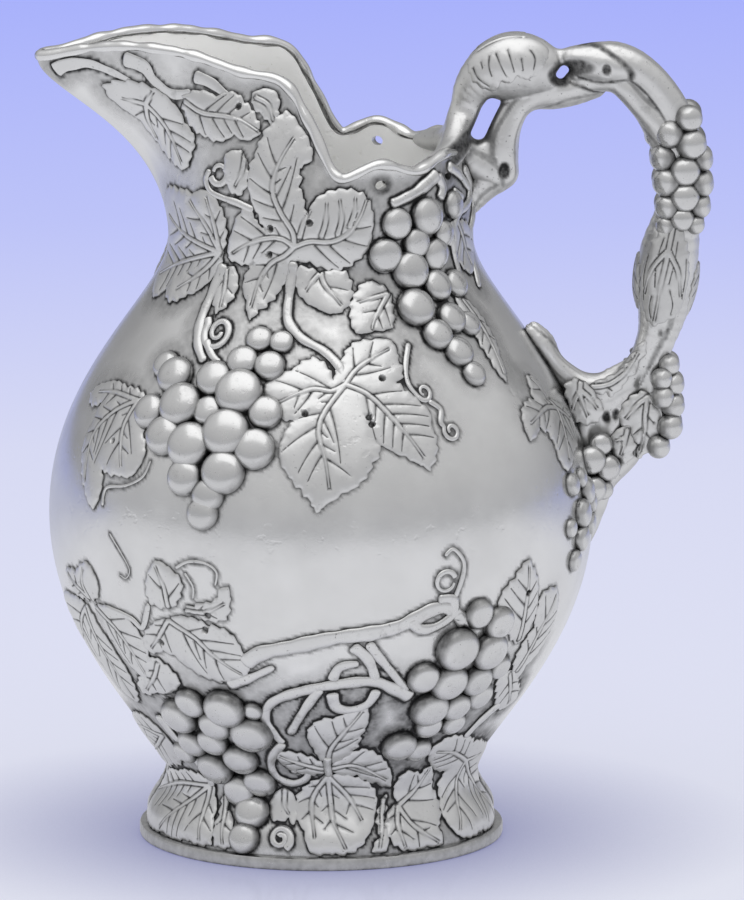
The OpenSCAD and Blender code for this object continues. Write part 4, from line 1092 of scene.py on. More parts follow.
LEAVES = {
    "shoulder_leaf": [
        ([(3.5, 157), (0.6, 162), (-2, 163), (-7.5, 159.5), (-14, 156), (-14.8, 153.5), (-10.5, 149.5), (-9.5, 146),
          (-6.3, 145.3), (-8.8, 140), (-9.2, 135), (-6.8, 129.7), (-4, 125.4), (-1.8, 122), (-0.8, 118.8),
          (1.4, 121.5), (4.7, 124.5), (9, 127.6), (11.7, 132.8), (13.8, 136.5), (13, 139.5), (16, 136.7),
          (19.5, 134.5), (22.6, 132), (24.8, 130), (27.5, 136.3), (27, 142.5), (27.5, 146.5), (25.8, 149),
          (22.3, 153), (20.5, 155.3), (22.8, 157.5), (22.3, 161.5), (21.8, 167), (15.3, 167.5), (10.4, 167),
          (7.5, 164.7), (6, 161)],
         [[(6.5, 155.3), (2.8, 153.6), (-2.3, 154), (-10, 150.5)],
          [(6.5, 155.3), (1, 147.5), (-0.3, 141.7), (1.2, 133.8), (2, 126)],
          [(6.5, 155.3), (12.2, 152.3), (17.2, 145.8), (21, 139.3), (23.5, 134)],
          [(6.5, 155.3), (10, 159.5), (15.3, 162.5), (20, 164.5)]],
         [(-3.6, 147.3), (12.3, 144), (11.8, 146), (16.5, 156.6)])],
    "neck_leaf": [
        ([(-15, 236), (-9, 231.5), (-4, 225.5), (-3, 222), (-8.5, 219), (-8, 213), (-6, 207), (-4.5, 204.5),
          (-2.5, 209), (2, 211.5), (7, 212.5), (13, 212.3), (17, 210.8), (19.5, 207), (19.5, 199), (17.8, 194),
          (13.4, 190.5), (7.3, 188), (1, 188.6), (-4, 190.5), (-8.5, 190.6), (-11, 190.6), (-11.7, 185.5),
          (-14.2, 182), (-17.3, 178), (-21, 175.3), (-23, 172.6), (-26, 178), (-28.7, 182.2), (-27.5, 187),
          (-25, 190), (-28, 188.3), (-31, 188.6), (-36.5, 190), (-34.5, 199), (-31, 205), (-28.5, 206.5),
          (-24, 201.5), (-20.5, 199.6), (-24, 204.5), (-27.5, 210), (-29, 216.5), (-26.5, 222.5), (-25, 227),
          (-22, 231.5)],
         [[(-9.6, 195), (-10.2, 199.5), (-15, 205.5), (-18.2, 211.3), (-18, 216.3), (-15.5, 222), (-11.5, 227.5)],
          [(-9.6, 195), (-4, 196.7), (4, 196.7), (10.5, 199.2), (15, 204.2), (17.6, 209)],
          [(-7.5, 198.2), (-6, 202.7), (-3.8, 206)], [(0.5, 198.6), (2, 202.7), (2.5, 208.2)],
          [(6.5, 199), (8, 203.7), (7.5, 209)], [(11, 201.4), (13, 205.7), (13.4, 209.6)],
          [(-9.6, 195), (-14.2, 197.3), (-20.5, 197.2), (-27.7, 195), (-34, 191.8)],
          [(-9.6, 195), (-13, 192.3), (-18.5, 189.3), (-22.3, 183.6), (-23.6, 176.5)]],
         [(-4, 202.5), (-18.8, 200.3), (-19, 192.3)])],
    "throat_leaf": [
        ([(-38.6, 192), (-37.6, 200), (-41, 206), (-48, 210), (-56, 208), (-65, 208.5), (-76, 207.5), (-81, 201),
          (-77, 195), (-81, 187), (-79, 177), (-72, 173.5), (-66, 177), (-60, 174), (-52, 177), (-46, 180),
          (-41, 186)],
         [[(-40, 191.5), (-43, 200), (-47.5, 207.5)], [(-40, 191.5), (-47, 199), (-56.5, 205.5)],
          [(-40, 191.5), (-50, 193), (-61, 195), (-74, 199)], [(-40, 191.5), (-53.5, 188), (-65, 184.5), (-76, 180)],
          [(-40, 191.5), (-47.5, 184.5), (-58, 178)]],
         []),
        ([(-38.5, 186.5), (-33.5, 187.5), (-30.6, 181), (-33, 176), (-36, 173.5), (-39.5, 178)],
         [[(-36.5, 186), (-35.5, 181), (-35, 175.5)]],
         [])],
    "lip_leaf": [
        ([(-61, 238), (-55, 240.5), (-47, 239), (-40, 241), (-34, 238), (-29, 234.5), (-25.5, 229), (-31, 226.5),
          (-37, 228), (-43, 225.5), (-50, 226.5), (-56, 228), (-60, 231.5)],
         [[(-60, 236.5), (-52.5, 233.7), (-42, 233.3), (-34.5, 232.5), (-26.5, 229.5)]],
         [(-36.5, 236.6)]),
        ([(-31, 241), (-24, 242.5), (-19.8, 241), (-18.6, 236), (-20.5, 231.5), (-25, 234), (-31, 237.5)],
         [[(-29, 239.5), (-23.5, 237.5), (-20.6, 233)]],
         []),
        ([(-40, 222), (-33, 223.5), (-29.5, 219), (-29.5, 212), (-33, 209.5), (-38, 212)],
         [[(-31, 222.5), (-31.5, 217), (-34, 212.5)]],
         [])],
    "spout_leaf": [
        ([(-61, 214.8), (-57, 220), (-55.5, 225.5), (-60.5, 230), (-65, 236), (-71, 240), (-77, 241.5), (-83, 239.5),
          (-84, 234), (-80, 228.5), (-76, 222), (-69, 217)],
         [[(-74.5, 234.5), (-68.5, 227.5), (-62.3, 217.5)], [(-74.5, 234.5), (-71, 238.5)],
          [(-74.5, 234.5), (-81, 235.5)], [(-74.5, 234.5), (-76, 229), (-75, 224)]],
         [])],
    "collar_leaf": [
        ([(16.5, 184), (13, 181.5), (9.8, 174.5), (11, 169.5), (17, 170), (23, 170.5), (25, 176), (24.6, 181),
          (20.5, 183.5)],
         [[(24.2, 180), (18, 173.5), (16.3, 170.5)], [(24.2, 180), (18.5, 179), (13, 178)]],
         []),
        ([(0, 187), (-8.6, 189), (-8.7, 182.7), (-6, 179.3), (-1.3, 176.8), (5, 175), (9.8, 177.4), (11.5, 182.5),
          (9.3, 187.4)],
         [[(0.2, 187.3), (1.6, 183.3), (6.9, 177.6)], [(0.2, 187.3), (-3, 184), (-5, 181.5)]],
         [])],
    "heel_leaf": [
        ([(57.5, 198.7), (64.5, 198.7), (75, 195.2), (79.5, 190.7), (79, 186.2), (69, 181), (63, 184.7),
          (58.5, 189.7), (56, 194.7)],
         [[(62.5, 198.2), (66, 192.7), (71, 184)]],
         []),
        ([(52, 176.5), (58, 174.5), (60.5, 166), (58, 158), (55, 151), (53, 159), (53, 167)],
         [[(55, 175), (57, 165), (55.3, 153.5)]],
         [])],
    "bunch_leaf": [
        ([(-48, 148), (-57, 149.5), (-68, 148.5), (-74, 144), (-70, 141), (-65, 143), (-65, 137), (-66, 131),
          (-64, 125), (-60.5, 118), (-56, 112.5), (-54, 119), (-55, 125), (-49, 124.5), (-45, 125), (-42.5, 132),
          (-45, 138)],
         [[(-50, 146.5), (-57, 142), (-62, 134), (-60.5, 121)], [(-50, 146.5), (-51.5, 138), (-48.5, 127)],
          [(-50, 146.5), (-60, 147), (-68, 145.5)]],
         [(-53.5, 134)])],
    "outer_leaf": [
        ([(-70, 90.2), (-64, 91.2), (-58.5, 95.7), (-55, 90.2), (-56, 84.7), (-62, 82.7), (-67.5, 83.7)],
         [[(-59.5, 83.7), (-61, 88.2), (-60, 93)], [(-59.5, 83.7), (-65, 87), (-68, 89)]],
         []),
        ([(-58, 82), (-47.5, 81), (-43.5, 74.7), (-43.8, 64.7), (-47, 59), (-51.5, 62.7), (-54.5, 69.7),
          (-57.5, 76.7)],
         [[(-57.6, 81.5), (-51.5, 76.2), (-48, 68.7), (-46.5, 61.2)]],
         []),
        ([(-78, 80), (-70, 82), (-62, 80.5), (-59.5, 74.5), (-56, 66), (-54.5, 58), (-58.5, 49), (-65, 52), (-68, 60),
          (-76, 68)],
         [[(-63, 79.5), (-62, 69), (-59.5, 59.5), (-59, 51)], [(-63, 79.5), (-69, 72), (-70, 62)]],
         [])],
    "lower_leaf": [
        ([(-34.5, 82.6), (-29.5, 84), (-25, 82), (-20, 80.2), (-17.5, 74.2), (-16.3, 67.5), (-22, 62.7), (-27, 63.2),
          (-31.5, 66.2), (-35, 70.2), (-38, 71.2), (-42.5, 69.7), (-44, 72), (-40.5, 78.7)],
         [[(-34.5, 82.2), (-28.5, 77.7), (-24.5, 72.2), (-18.6, 66.4)], [(-34.5, 82.2), (-38, 76), (-41, 72)]],
         [(-37.5, 74.5), (-25.5, 80.4)]),
        ([(-39, 86.8), (-39.4, 93.2), (-36.5, 101), (-32.5, 98.7), (-30, 95.2), (-31, 89.7), (-33.5, 86)],
         [[(-34, 86.8), (-34.4, 93), (-36.2, 98.6)]],
         []),
        ([(-30.5, 86.2), (-27.5, 88), (-23.5, 89.4), (-21.8, 91.4), (-21.5, 94), (-19.4, 95), (-19.2, 89.7),
          (-20.2, 84.6), (-23.5, 83.2), (-27, 84.8)],
         [[(-29.5, 86), (-25, 86.2), (-20.6, 89.4)]],
         [(-24.5, 85.2)]),
        ([(-42, 68.4), (-39, 66.8), (-36, 61.2), (-39, 57.2), (-46.5, 55.2), (-52, 53.5), (-53, 56), (-49, 60.7)],
         [[(-41, 66.2), (-43.5, 61.7), (-49, 56)]],
         [])],
    "flank_leaf": [
        ([(49, 98.8), (45, 93.5), (41.5, 88.8), (41.5, 82.2), (46, 75.7), (51.2, 70.6), (54, 75.2), (53.8, 86.2)],
         [[(50.5, 72.7), (49.5, 84.7), (49, 96)]],
         [(49.6, 88)]),
        ([(55, 86), (61, 87), (65, 75.2), (63.5, 66.7), (59.5, 61.2), (58.5, 57), (53, 62.5), (52.8, 69), (55.5, 75)],
         [[(55.5, 61), (57.8, 72.7), (61, 84)]],
         []),
        ([(53, 61.4), (60, 56), (67, 48.5), (60, 46), (51.5, 53.7), (49, 59.7)],
         [[(53, 60), (57, 54.2), (61, 49)]],
         [])],
    "foot_leaf": [
        ([(2.6, 33.6), (-2, 39.7), (-3.5, 46.7), (0, 50.7), (4, 51.2), (12, 55.4), (11.5, 44.2), (9.5, 38),
          (5, 34.6)],
         [[(2.5, 34.6), (3.5, 41.2), (10.5, 53.4)]],
         []),
        ([(1.6, 33.2), (-3.5, 37), (-14, 38.4), (-12.5, 33.7), (-6.5, 30.4), (0.5, 30.2)],
         [[(1, 32.2), (-5.5, 34.2), (-12.4, 36.8)]],
         []),
        ([(3.4, 33.2), (7.5, 37.2), (14, 39.4), (22.5, 32.5), (26, 24.2), (20, 26), (12, 29.6), (4.5, 30.6)],
         [[(3.4, 32.2), (11, 33.6), (23, 27.5)]],
         []),
        ([(3, 30), (12, 29), (20, 23.7), (19.5, 15.7), (16, 10.2), (10.5, 5.3), (3, 5.2), (-3, 5.2), (-5.5, 11.7),
          (-9.5, 18.7), (-5.5, 25.7), (-0.5, 28.5)],
         [[(2.5, 29.6), (3.5, 21.2), (4.5, 13.7), (8, 6.8)], [(2.5, 29.6), (10, 22), (14.5, 14)],
          [(2.5, 29.6), (-3, 21), (-2, 10)]],
         [])],
    "foot_side_leaf": [
        ([(40.5, 30.2), (37, 27.7), (30.5, 29.4), (27.5, 24.2), (29, 18.7), (24, 15.2), (22.6, 10), (27, 5.2),
          (37, 5), (44, 5), (43, 10.2), (47.5, 15.2), (45, 22.2)],
         [[(29, 17.7), (36.5, 22.7), (40, 28.9)], [(29, 17.7), (33, 11.2), (41.5, 6)],
          [(29, 17.7), (27, 11.7), (28.5, 6)]],
         []),
        ([(49, 39), (41, 40.4), (36.5, 36.7), (39.5, 31), (50, 26.5), (48.5, 18.2), (47.5, 10.7), (53, 5.5),
          (66, 5.2), (80, 5.4), (84, 9.7), (85, 17.7), (80, 28.2), (66, 34), (57, 36)],
         [[(59, 29.2), (47, 34.2), (39.5, 35.6)], [(59, 29.2), (58, 18.7), (52.5, 8)],
          [(59, 29.2), (73, 19), (80, 8)], [(59, 29.2), (70, 29.5)]],
         []),
        ([(24.5, 22), (21.5, 18), (20, 9.5), (16.8, 5.2), (22, 5.2), (22.5, 14)],
         [[(23.4, 20), (21.6, 13), (19.6, 6.6)]],
         [])],
    "foot_heel_leaf": [
        ([(-86, 12.7), (-84, 19), (-64, 24.4), (-51, 26), (-44, 23.9), (-42, 19.2), (-40, 13.2), (-38.5, 5.2),
          (-50, 5.2), (-64.5, 5.2), (-81, 5.2), (-86, 7.7)],
         [[(-44.5, 22.6), (-56, 14.7), (-66.5, 6.2)], [(-44.5, 22.6), (-63, 20.6), (-82, 15)],
          [(-44.5, 22.6), (-45, 14.7), (-43.5, 6.6)]],
         []),
        ([(-62, 44), (-56.5, 40), (-55, 33), (-58, 27.6), (-66, 26.5), (-76, 24), (-84, 27), (-83, 36), (-73, 42)],
         [[(-57, 38), (-66, 33.5), (-80, 29)], [(-57, 38), (-66, 39), (-76, 38)]],
         []),
        ([(-37.5, 22), (-35.2, 16), (-31.5, 12.6), (-31, 5.2), (-37, 5.2), (-38.4, 14)],
         [[(-36.8, 20.5), (-35.4, 13), (-33.8, 6.6)]],
         []),
        ([(-17.5, 22), (-13, 25), (-9.5, 22), (-8.5, 14), (-9.8, 13.6), (-11.5, 15), (-16, 14), (-18.6, 16)],
         [[(-13, 24), (-13, 19), (-11.5, 16.5)]],
         [])],
    "root_leaf": [
        ([(65.5, 151.2), (69.5, 149.2), (70, 145.2), (69, 142.6), (75.5, 140.6), (80, 136.2), (81, 132.7),
          (80, 128.7), (74, 126.2), (67, 121.5), (64.5, 125.7), (64.5, 130.2), (63.5, 134.2), (60.5, 136.6),
          (55, 133.6), (55, 140.7), (58, 144.2), (63, 144.6), (64, 147.7)],
         [[(72, 139.7), (71, 133.2), (68.6, 125)], [(72, 139.7), (66, 141), (57, 138.4)],
          [(72, 139.7), (69, 145.2), (66.4, 149.8)], [(72, 139.7), (77, 135.5), (78.4, 131)]],
         [])],
}
# leaves on the near side of the web, as x and z
FORK_LEAVES = [
    ([(102.4, 140.8), (100.1, 141.3), (96.6, 139.6), (94.1, 136.8), (93, 133.8), (93.8, 130.6), (96.6, 129.8),
      (97.3, 125.8), (99.4, 124.4), (98.6, 120), (101.6, 121.6), (105.4, 125.2), (108, 129.8), (108.7, 134.6),
      (107.1, 138.6), (104.8, 140.5)],
     [[(102, 139.6), (101.2, 134.6), (100.9, 129), (99.6, 122.4)], [(102, 139.6), (98.9, 137.4), (95.2, 133)],
      [(102, 139.6), (105.6, 136.6), (106.6, 132.6)]],
     []),
    ([(90.3, 126.6), (93.4, 129.8), (96.2, 130.6), (96.6, 127.4), (98.1, 125.4), (97.7, 122.2), (95.8, 118.5),
      (92.7, 120), (90.7, 123)],
     [[(95.6, 129), (94.6, 125), (93.6, 121.4)], [(95, 127), (92.4, 126)]],
     []),
    ([(83.4, 143.4), (84.8, 140.6), (88.8, 141.2), (90, 139.8), (93.4, 142.3), (95.8, 146.2), (98.1, 147),
      (98.9, 151.2), (101.4, 153.5), (100.9, 158), (98.6, 155), (96, 150.6), (92.6, 147.2), (88.6, 145.4)],
     [[(84.6, 143), (90, 144), (95, 147.8), (99, 154)]],
     [])]
# a leaf that lies over the joint of the handle with the bowl, as x and z
JOINT_LEAF = (
    [(76.2, 144.1), (79.4, 145.8), (83.3, 143.8), (86, 139.8), (88, 137), (87.4, 133.4), (84.8, 131.4), (81.7, 131.4),
     (78.6, 133.2), (77, 137.8)],
    [[(80.9, 144.4), (81, 140), (83.2, 134)], [(80.9, 142.4), (79.4, 139.6), (78.6, 136.4)],
     [(80.9, 142.4), (83.6, 140), (86, 136.6)]],
    [])
# how far each of these four leaves lies from the plane of the handle
WEB_LEAF_DEPTHS = (3.4, 3.8, 4.4, 5.6)

# each grape's place on the skin, as the leaves have it, and its radius
BUNCHES = {
    "shoulder_bunch": [(-41, 155, 5.6), (-35.8, 147.2, 6.6), (-20.8, 152.3, 6.9), (-22, 140.8, 7.1),
                       (-30.6, 136.4, 6.7), (-38, 138.2, 5.8), (-44.6, 144.2, 5.2), (-21.4, 129.6, 6.4),
                       (-14.9, 136.8, 6.0), (-13.4, 147.2, 5.0), (-30.4, 127.2, 5.4), (-24.4, 122.6, 4.8),
                       (-25.3, 117, 4.7), (-28.8, 155.6, 5.4), (-21.9, 161, 4.7), (-14, 160.2, 4.5),
                       (-18.4, 167.4, 3.9), (-11.6, 167, 3.5), (-46, 157.5, 4.2), (-28, 146.5, 4.6)],
    "neck_bunch": [(43.5, 202.2, 5.4), (29.5, 201.2, 4.6), (24.5, 191.7, 5.0), (34.5, 186.2, 5.7), (47, 190, 4.8),
                   (45, 180.6, 4.8), (33, 175.2, 5.7), (55, 180, 4.2), (45.5, 171, 4.7), (37.5, 167.2, 4.7),
                   (42.5, 161.7, 4.6), (44.5, 155.2, 3.8), (52, 168.6, 3.8), (60, 204, 4.0), (38, 194.6, 4.4),
                   (52.5, 196, 3.8)],
    "lower_bunch": [(-25, 53.6, 5.8), (-35, 54, 4.5), (-41, 48.6, 5.4), (-29.8, 47, 4.8), (-19.4, 45.2, 5.8),
                    (-17.6, 53, 2.8), (-42, 38.6, 4.4), (-33.4, 40.4, 4.5), (-26, 35, 4.9), (-37.6, 30.4, 5.2),
                    (-21.8, 26.6, 4.5), (-30.4, 22.8, 4.7), (-25, 16.2, 4.8), (-26, 8.6, 4.2), (-49, 34, 3.7)],
    "flank_bunch": [(31.8, 73.4, 6.1), (41.2, 71, 5.5), (36, 84, 4.2), (42, 80, 4.7), (24.8, 64.4, 4.6),
                    (32, 62, 5.4), (40.6, 61, 4.7), (29, 53, 5.4), (37.4, 52.4, 4.4), (44, 55, 4.2), (31, 46.4, 3.9),
                    (39.4, 46, 3.7), (23.8, 40, 4.8), (31, 37.6, 3.8), (47, 64, 3.6)],
    "root_bunch": [(68, 117.2, 3.4), (77, 113, 4.0), (72, 107.2, 4.2), (65.5, 104.2, 2.8), (71.5, 99.4, 3.8),
                   (68.5, 93.2, 3.2), (79, 102, 3.2), (74.5, 117.6, 3.0), (82, 108, 3.0)],
}


# Routes of the vines on the skin, as the leaves have it, then half width, height and the share left at the end.
THIN = (TENDRIL_W, TENDRIL_H)
RUNNERS = {
    "upper_vines": [
        ([(-10, 190.5), (-10.8, 182), (-10.5, 173.5), (-6, 168.5), (1, 164.8), (5.5, 160),
         (6, 155.5)], 1.6, 1.9, 0.9),
        ([(-38.5, 188), (-40.5, 180), (-41, 172), (-38.5, 165), (-34, 160)], 1.9, 2.0, 0.8),
        ([(-36, 166), (-32, 162), (-29, 160.5)], 1.4, 1.7),
        ([(52, 214.4), (46, 212), (40, 210), (33.5, 208.6), (27.5, 207.2)], 2.2, 3.2, 0.75),
        ([(52, 214), (54.5, 210), (52, 206.6)], 1.8, 2.4, 0.8),
        ([(60, 216), (68.5, 213), (74.5, 209.6), (80, 206), (76, 202.6), (66, 201), (61, 198.2),
         (60, 192)], 1.7, 2.2, 0.8),
        ([(78, 213), (86, 207), (87, 200), (80, 196), (74, 191.6), (75, 184), (70, 177)], 1.8, 2.2, 0.7),
        ([(62, 208), (66, 206.6), (70, 205)], 1.2, 1.6, 0.8),
        ([(60, 190), (60.6, 184), (58, 177)], 1.3, 1.6, 0.7),
        ([(-26, 205.5), (-33, 207.4), (-40, 208.4), (-46, 209.8), (-48.6, 213), (-47, 216.5)], 1.2, 1.5, 0.8),
        ([(-88, 242.6), (-86.4, 244.8), (-83.5, 245.8), (-80.5, 244), (-76.5, 240.6)], 2.3, 0.6, 0.4),
        ([(-76.5, 248.4), (-72, 246.4), (-70, 242.2), (-65, 238.4), (-58, 239.4)], 2.4, 0.7, 0.5),
        ([(-57, 244.6), (-50, 243), (-42, 239.4), (-36.5, 237.7)], 2.0, 0.6, 0.4)],
    "lower_vines": [
        ([(-17.5, 69.8), (-13, 73.7), (-6, 76.2), (3, 79.2), (10.5, 80.4), (16.5, 82), (20.5, 84.4), (24.5, 86.9),
         (28.5, 86.7), (33, 81.2)], 2.7, 2.3, 0.85),
        ([(19.5, 84.5), (22, 81), (26, 81.4), (29.5, 85), (29, 89.6), (25.5, 90.2)], 1.9, 2.4, 0.8),
        ([(30, 85), (34.5, 80.8), (39.5, 79.6)], 1.8, 2.2, 0.7),
        ([(23, 57.4), (17.5, 61.2), (12, 64), (2.5, 63), (-6.5, 60), (-12.5, 56), (-14.8, 50.2), (-13, 44.7),
         (-11, 41.4)], 2.3, 2.2, 0.6),
        ([(0, 62), (-3.5, 55.2), (-8.6, 45)], 1.7, 1.9, 0.8),
        ([(7, 76.4), (10.8, 71.7), (13.2, 64)], 1.9, 1.9, 0.9),
        ([(10.5, 77.4), (14.5, 70.2), (21.8, 59.4)], 1.6, 1.8, 0.9),
        ([(2.8, 64.6), (4.5, 69.2), (8.8, 70.4)], 1.7, 1.8, 0.8),
        ([(2.8, 60.4), (4, 55.2), (8, 54), (12, 56), (13.8, 61)], 1.9, 1.9, 0.8),
        ([(-22.5, 61.6), (-16.5, 64.9), (-10.6, 69)], 2.0, 2.0, 0.6),
        ([(2.2, 37), (2.2, 33.5), (2.8, 29.6)], 1.3, 2.6, 0.9),
        ([(-54, 82), (-46, 80.4), (-42.6, 78), (-39.4, 86.4)], 1.2, 1.4, 0.8),
        ([(57, 49), (52.5, 44.5), (49.5, 38.5)], 1.8, 1.7, 0.8),
        ([(-52, 46), (-50, 38), (-45, 28), (-44, 22)], 1.8, 1.8, 0.8)],
    "tendrils": [
        ([(29.5, 90), (31, 96.5), (31.2, 101.5), (28.8, 105.6), (26.8, 103.8)], *THIN),
        (curl(27.2, 95.6, 3.3, 20, 330, close=0.12), *THIN),
        ([(27, 166), (24.2, 160), (23.6, 155), (25.4, 151)] + curl(27.4, 152.2, 2.6, -150, 400, close=0.7), *THIN),
        ([(28, 149.6), (30.6, 147), (29.8, 143.5)] + curl(32.2, 140.6, 2.9, 150, 420, close=0.7), *THIN),
        ([(-50, 106.5), (-46.5, 101.5), (-44, 96.5), (-45.2, 93.4), (-47, 94)], 0.28, 0.3),
        ([(-53, 114.5), (-52.5, 120), (-46.5, 122), (-42, 125.5), (-40.6, 130.5)], 0.6, 0.8),
        (curl(-42.2, 215.6, 3.4, 200, 330, close=0.3), 1.2, 1.5),
        ([(-38.5, 172)] + curl(-32.8, 168.6, 5.0, 160, 560, 20, close=0.78), 1.3, 1.7),
        ([(-11, 41.6), (-15.8, 35), (-15.6, 29.2), (-10, 26.6), (-4.8, 28.7), (-4.8, 32.6), (-8, 32.6),
         (-9, 30.4)], 1.6, 1.8, 0.6),
        (curl(-13.5, 9.4, 3.6, -60, 560, 20, close=0.75), 1.2, 1.5, 0.7),
        ([(-31.6, 99.2), (-28.5, 101.7), (-24.5, 101.7), (-22, 99.2), (-22.4, 94.9)], 0.5, 0.5),
        ([(-29.4, 98), (-27.6, 94), (-27.8, 90)], 0.4, 0.4)],
}


def build_ornament():
    leaves = {}
    for name, parts in LEAVES.items():
        leaves[name] = Shape()
        for outline, veins, pits in parts:
            skin_leaf(leaves[name], outline, veins, pits)
    leaves["fork_leaf"] = Shape()
    for parts, depth in zip((*FORK_LEAVES, JOINT_LEAF), WEB_LEAF_DEPTHS):
        def beside(x, y, h, depth=depth):
            return np.stack([x, -depth - h, y], -1)
        add_leaf(leaves["fork_leaf"], beside, *parts, thick=1.7, sink=-1.6)
    bunches = {}
    for name, grapes in BUNCHES.items():
        low = name in ("lower_bunch", "flank_bunch")
        # the low bunches get more painted shade round their grapes
        bunches[name] = grape_bunch(grapes, fat=1.2 if low else 1.1, dull_and_shade=0.7 if low else 0.4)
    for x, y, z, r in ROOT_GRAPES:
        add_ball(bunches["root_bunch"], np.array([x, y, z]), (0.2, -0.97, 0.05), r, flatten=0.7, fullness=2.2)
    runners = {}
    for name, vines in RUNNERS.items():
        runners[name] = Shape()
        for vine in vines:
            add_vine(runners[name], *vine)
    shapes = [*leaves.values(), *bunches.values(), *runners.values()]
    kinds = ((leaves, "relief", LEAF, "leaf_metal", FLAT_SHARP),
             (bunches, "grapes", GRAPE, "grape_metal", ROUND_SHARP),
             (runners, "relief", VINE, "vine_metal", ROUND_SHARP))
    for side in ("front", "back"):
        for group, ending, material, slot, sharp in kinds:
            for name, shape in group.items():
                shape.build(f"{side}_{name}_{ending}", [f"{side}_{name}"], material, slot, side == "back", sharp)
    return shapes


def near_ornament(shapes):
    """A search tree over the ornament's points."""
    points = np.vstack([np.vstack(shape.points) for shape in shapes])
    tree = KDTree(len(points))
    for i, p in enumerate(points):
        tree.insert(p, i)
    tree.balance()
    return tree


# Floor, light and camera

def build_floor():
    size = 9.0
    mesh = bpy.data.meshes.new("floor")
    mesh.from_pydata([(-size, -size, 0), (size, -size, 0), (size, size, 0), (-size, size, 0)], [], [(0, 1, 2, 3)])
    floor = bpy.data.objects.new("floor", mesh)
    bpy.context.scene.collection.objects.link(floor)
    mat = bpy.data.materials.new("pale_floor")
    mat.use_nodes = True
    tree = mat.node_tree
    tree.nodes.clear()
    link = tree.links.new
    split = node(tree, "ShaderNodeSeparateXYZ")
    link(node(tree, "ShaderNodeTexCoord").outputs["Object"], split.inputs[0])
    depth = split.outputs["Y"]

    # the camera sees it pale in front and blue behind, with a painted shadow where the ewer stands
    seen = ramp(tree, span(tree, depth, -0.1, 1.65), (0.0, (0.75, 0.765, 0.86)), (0.41, (0.68, 0.70, 0.89)),
                (0.68, (0.52, 0.56, 0.95)), (1.0, (0.41, 0.46, 1.0)))
    # painted shadow: the floor's colour is darkened and blued where the ewer shuts it in
    under = node(tree, "ShaderNodeAmbientOcclusion", samples=12)
    under.inputs["Distance"].default_value = 0.09
    shade = ramp(tree, under.outputs["AO"], (0.25, (0.38, 0.39, 0.62)), (0.97, (1.0, 1.0, 1.0)))
    seen = mix(tree, 1.0, seen, shade, "MULTIPLY")
    # the metal mirrors it bright in front and dimmer behind
    mirrored = mix(tree, span(tree, depth, 0.15, 0.52), (0.84, 0.84, 0.83), (0.50, 0.52, 0.63))
    # straight sight has all of the seen colour, and a mirrored ray a part of it
    path = node(tree, "ShaderNodeLightPath").outputs
    straight = combine(tree, "MAXIMUM", path["Is Camera Ray"], path["Is Transmission Ray"])
    share = combine(tree, "MULTIPLY_ADD", path["Is Glossy Ray"], SEEN_IN_METAL, straight)
    colour = mix(tree, share, mirrored, seen)

    def shader(kind, **numbers):
        n = node(tree, kind)
        link(colour, n.inputs["Color"])
        for key, number in numbers.items():
            n.inputs[key].default_value = number
        return n.outputs[0]

    def mixed(share, a, b):
        n = node(tree, "ShaderNodeMixShader")
        n.inputs["Fac"].default_value = share
        link(a, n.inputs[1])
        link(b, n.inputs[2])
        return n.outputs[0]

    black = node(tree, "ShaderNodeBsdfDiffuse")
    black.inputs["Color"].default_value = (0, 0, 0, 1)
    matte = mixed(0.42, shader("ShaderNodeBsdfDiffuse"), black.outputs[0])
    lit = mixed(0.12, matte, shader("ShaderNodeBsdfGlossy", Roughness=0.12))
    total = node(tree, "ShaderNodeAddShader")
    link(shader("ShaderNodeEmission", Strength=0.535), total.inputs[0])
    link(lit, total.inputs[1])
    link(total.outputs[0], node(tree, "ShaderNodeOutputMaterial").inputs[0])
    mesh.materials.append(mat)


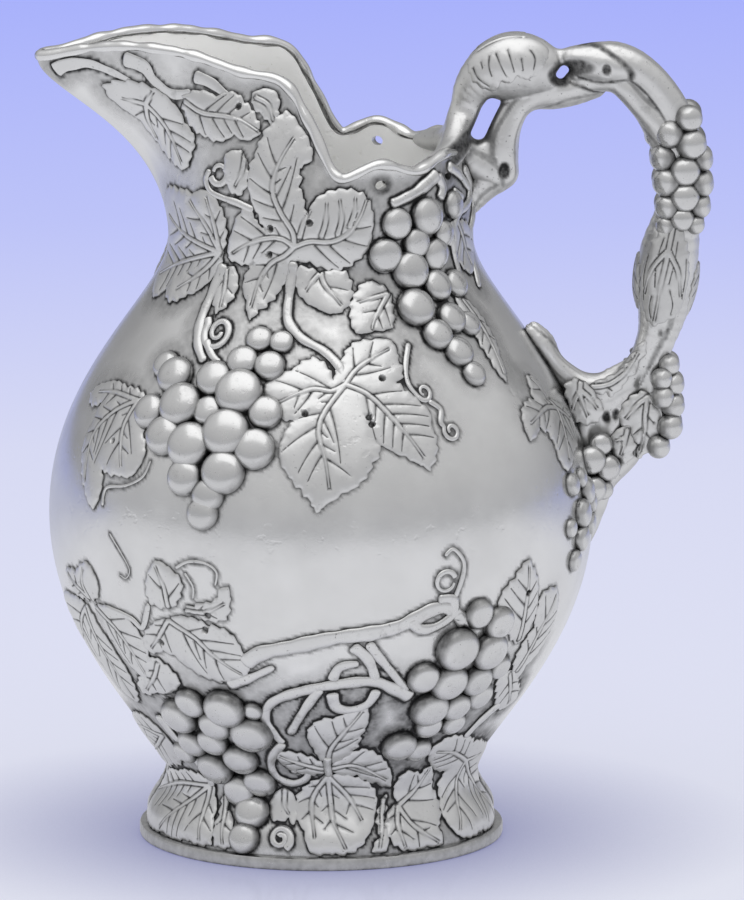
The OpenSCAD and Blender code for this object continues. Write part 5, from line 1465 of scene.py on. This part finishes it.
def build_light():
    """A soft room, brighter above and dimmer behind, and one wide lamp overhead."""
    world = bpy.data.worlds.new("studio")
    bpy.context.scene.world = world
    world.use_nodes = True
    tree = world.node_tree
    split = node(tree, "ShaderNodeSeparateXYZ")
    tree.links.new(node(tree, "ShaderNodeTexCoord").outputs["Generated"], split.inputs[0])
    above = ramp(tree, split.outputs["Z"], (0.0, (0.52, 0.525, 0.55)), (0.30, (0.62, 0.62, 0.63)),
                 (1.0, (0.85, 0.85, 0.86)))
    room = mix(tree, 1.0, above, span(tree, split.outputs["Y"], 0.30, 0.80, 1.0, 0.62), "MULTIPLY")
    background = tree.nodes["Background"]
    background.inputs["Strength"].default_value = 1.0
    tree.links.new(room, background.inputs["Color"])

    light = bpy.data.lights.new("top_box", "AREA")
    light.shape = "RECTANGLE"
    light.size, light.size_y = 2.0, 1.8
    light.energy = 7
    lamp = bpy.data.objects.new("top_box", light)
    lamp.location = (-0.1, -0.3, 1.6)
    lamp.rotation_euler = (Vector((0, 0, 0.1)) - lamp.location).to_track_quat("-Z", "Y").to_euler()
    bpy.context.scene.collection.objects.link(lamp)


def build_camera():
    """A long lens far in front, looking a little down, framed as the photograph is."""
    image_w, image_h = 744, 900
    axis_px = 321.0
    mm_per_px = 0.3125
    distance, height, aim_z = 4000.0, 909.0, 122.0
    sensor = 36.0
    shift_x = (image_w / 2 - axis_px) * mm_per_px
    reach = math.hypot(distance, height - aim_z)
    data = bpy.data.cameras.new("camera")
    data.sensor_fit = "VERTICAL"
    data.sensor_height = sensor
    data.lens = reach / mm_per_px * sensor / image_h
    data.clip_end = 60
    camera = bpy.data.objects.new("camera", data)
    place = Vector((shift_x, -distance, height)) * MM
    aim = Vector((shift_x, 0, aim_z)) * MM
    camera.location = place
    camera.rotation_euler = (aim - place).to_track_quat("-Z", "Y").to_euler()
    bpy.context.scene.collection.objects.link(camera)
    bpy.context.scene.camera = camera
    bpy.context.scene.view_settings.view_transform = "Standard"


build_branches()
build_handle_leaves()
build_handle_bunches()
ORNAMENT = near_ornament(build_ornament())
build_foot()
build_lower_bowl()
build_shoulder()
build_neck()
build_bead()
build_floor()
build_light()
build_camera()

bpy.context.view_layer.update()
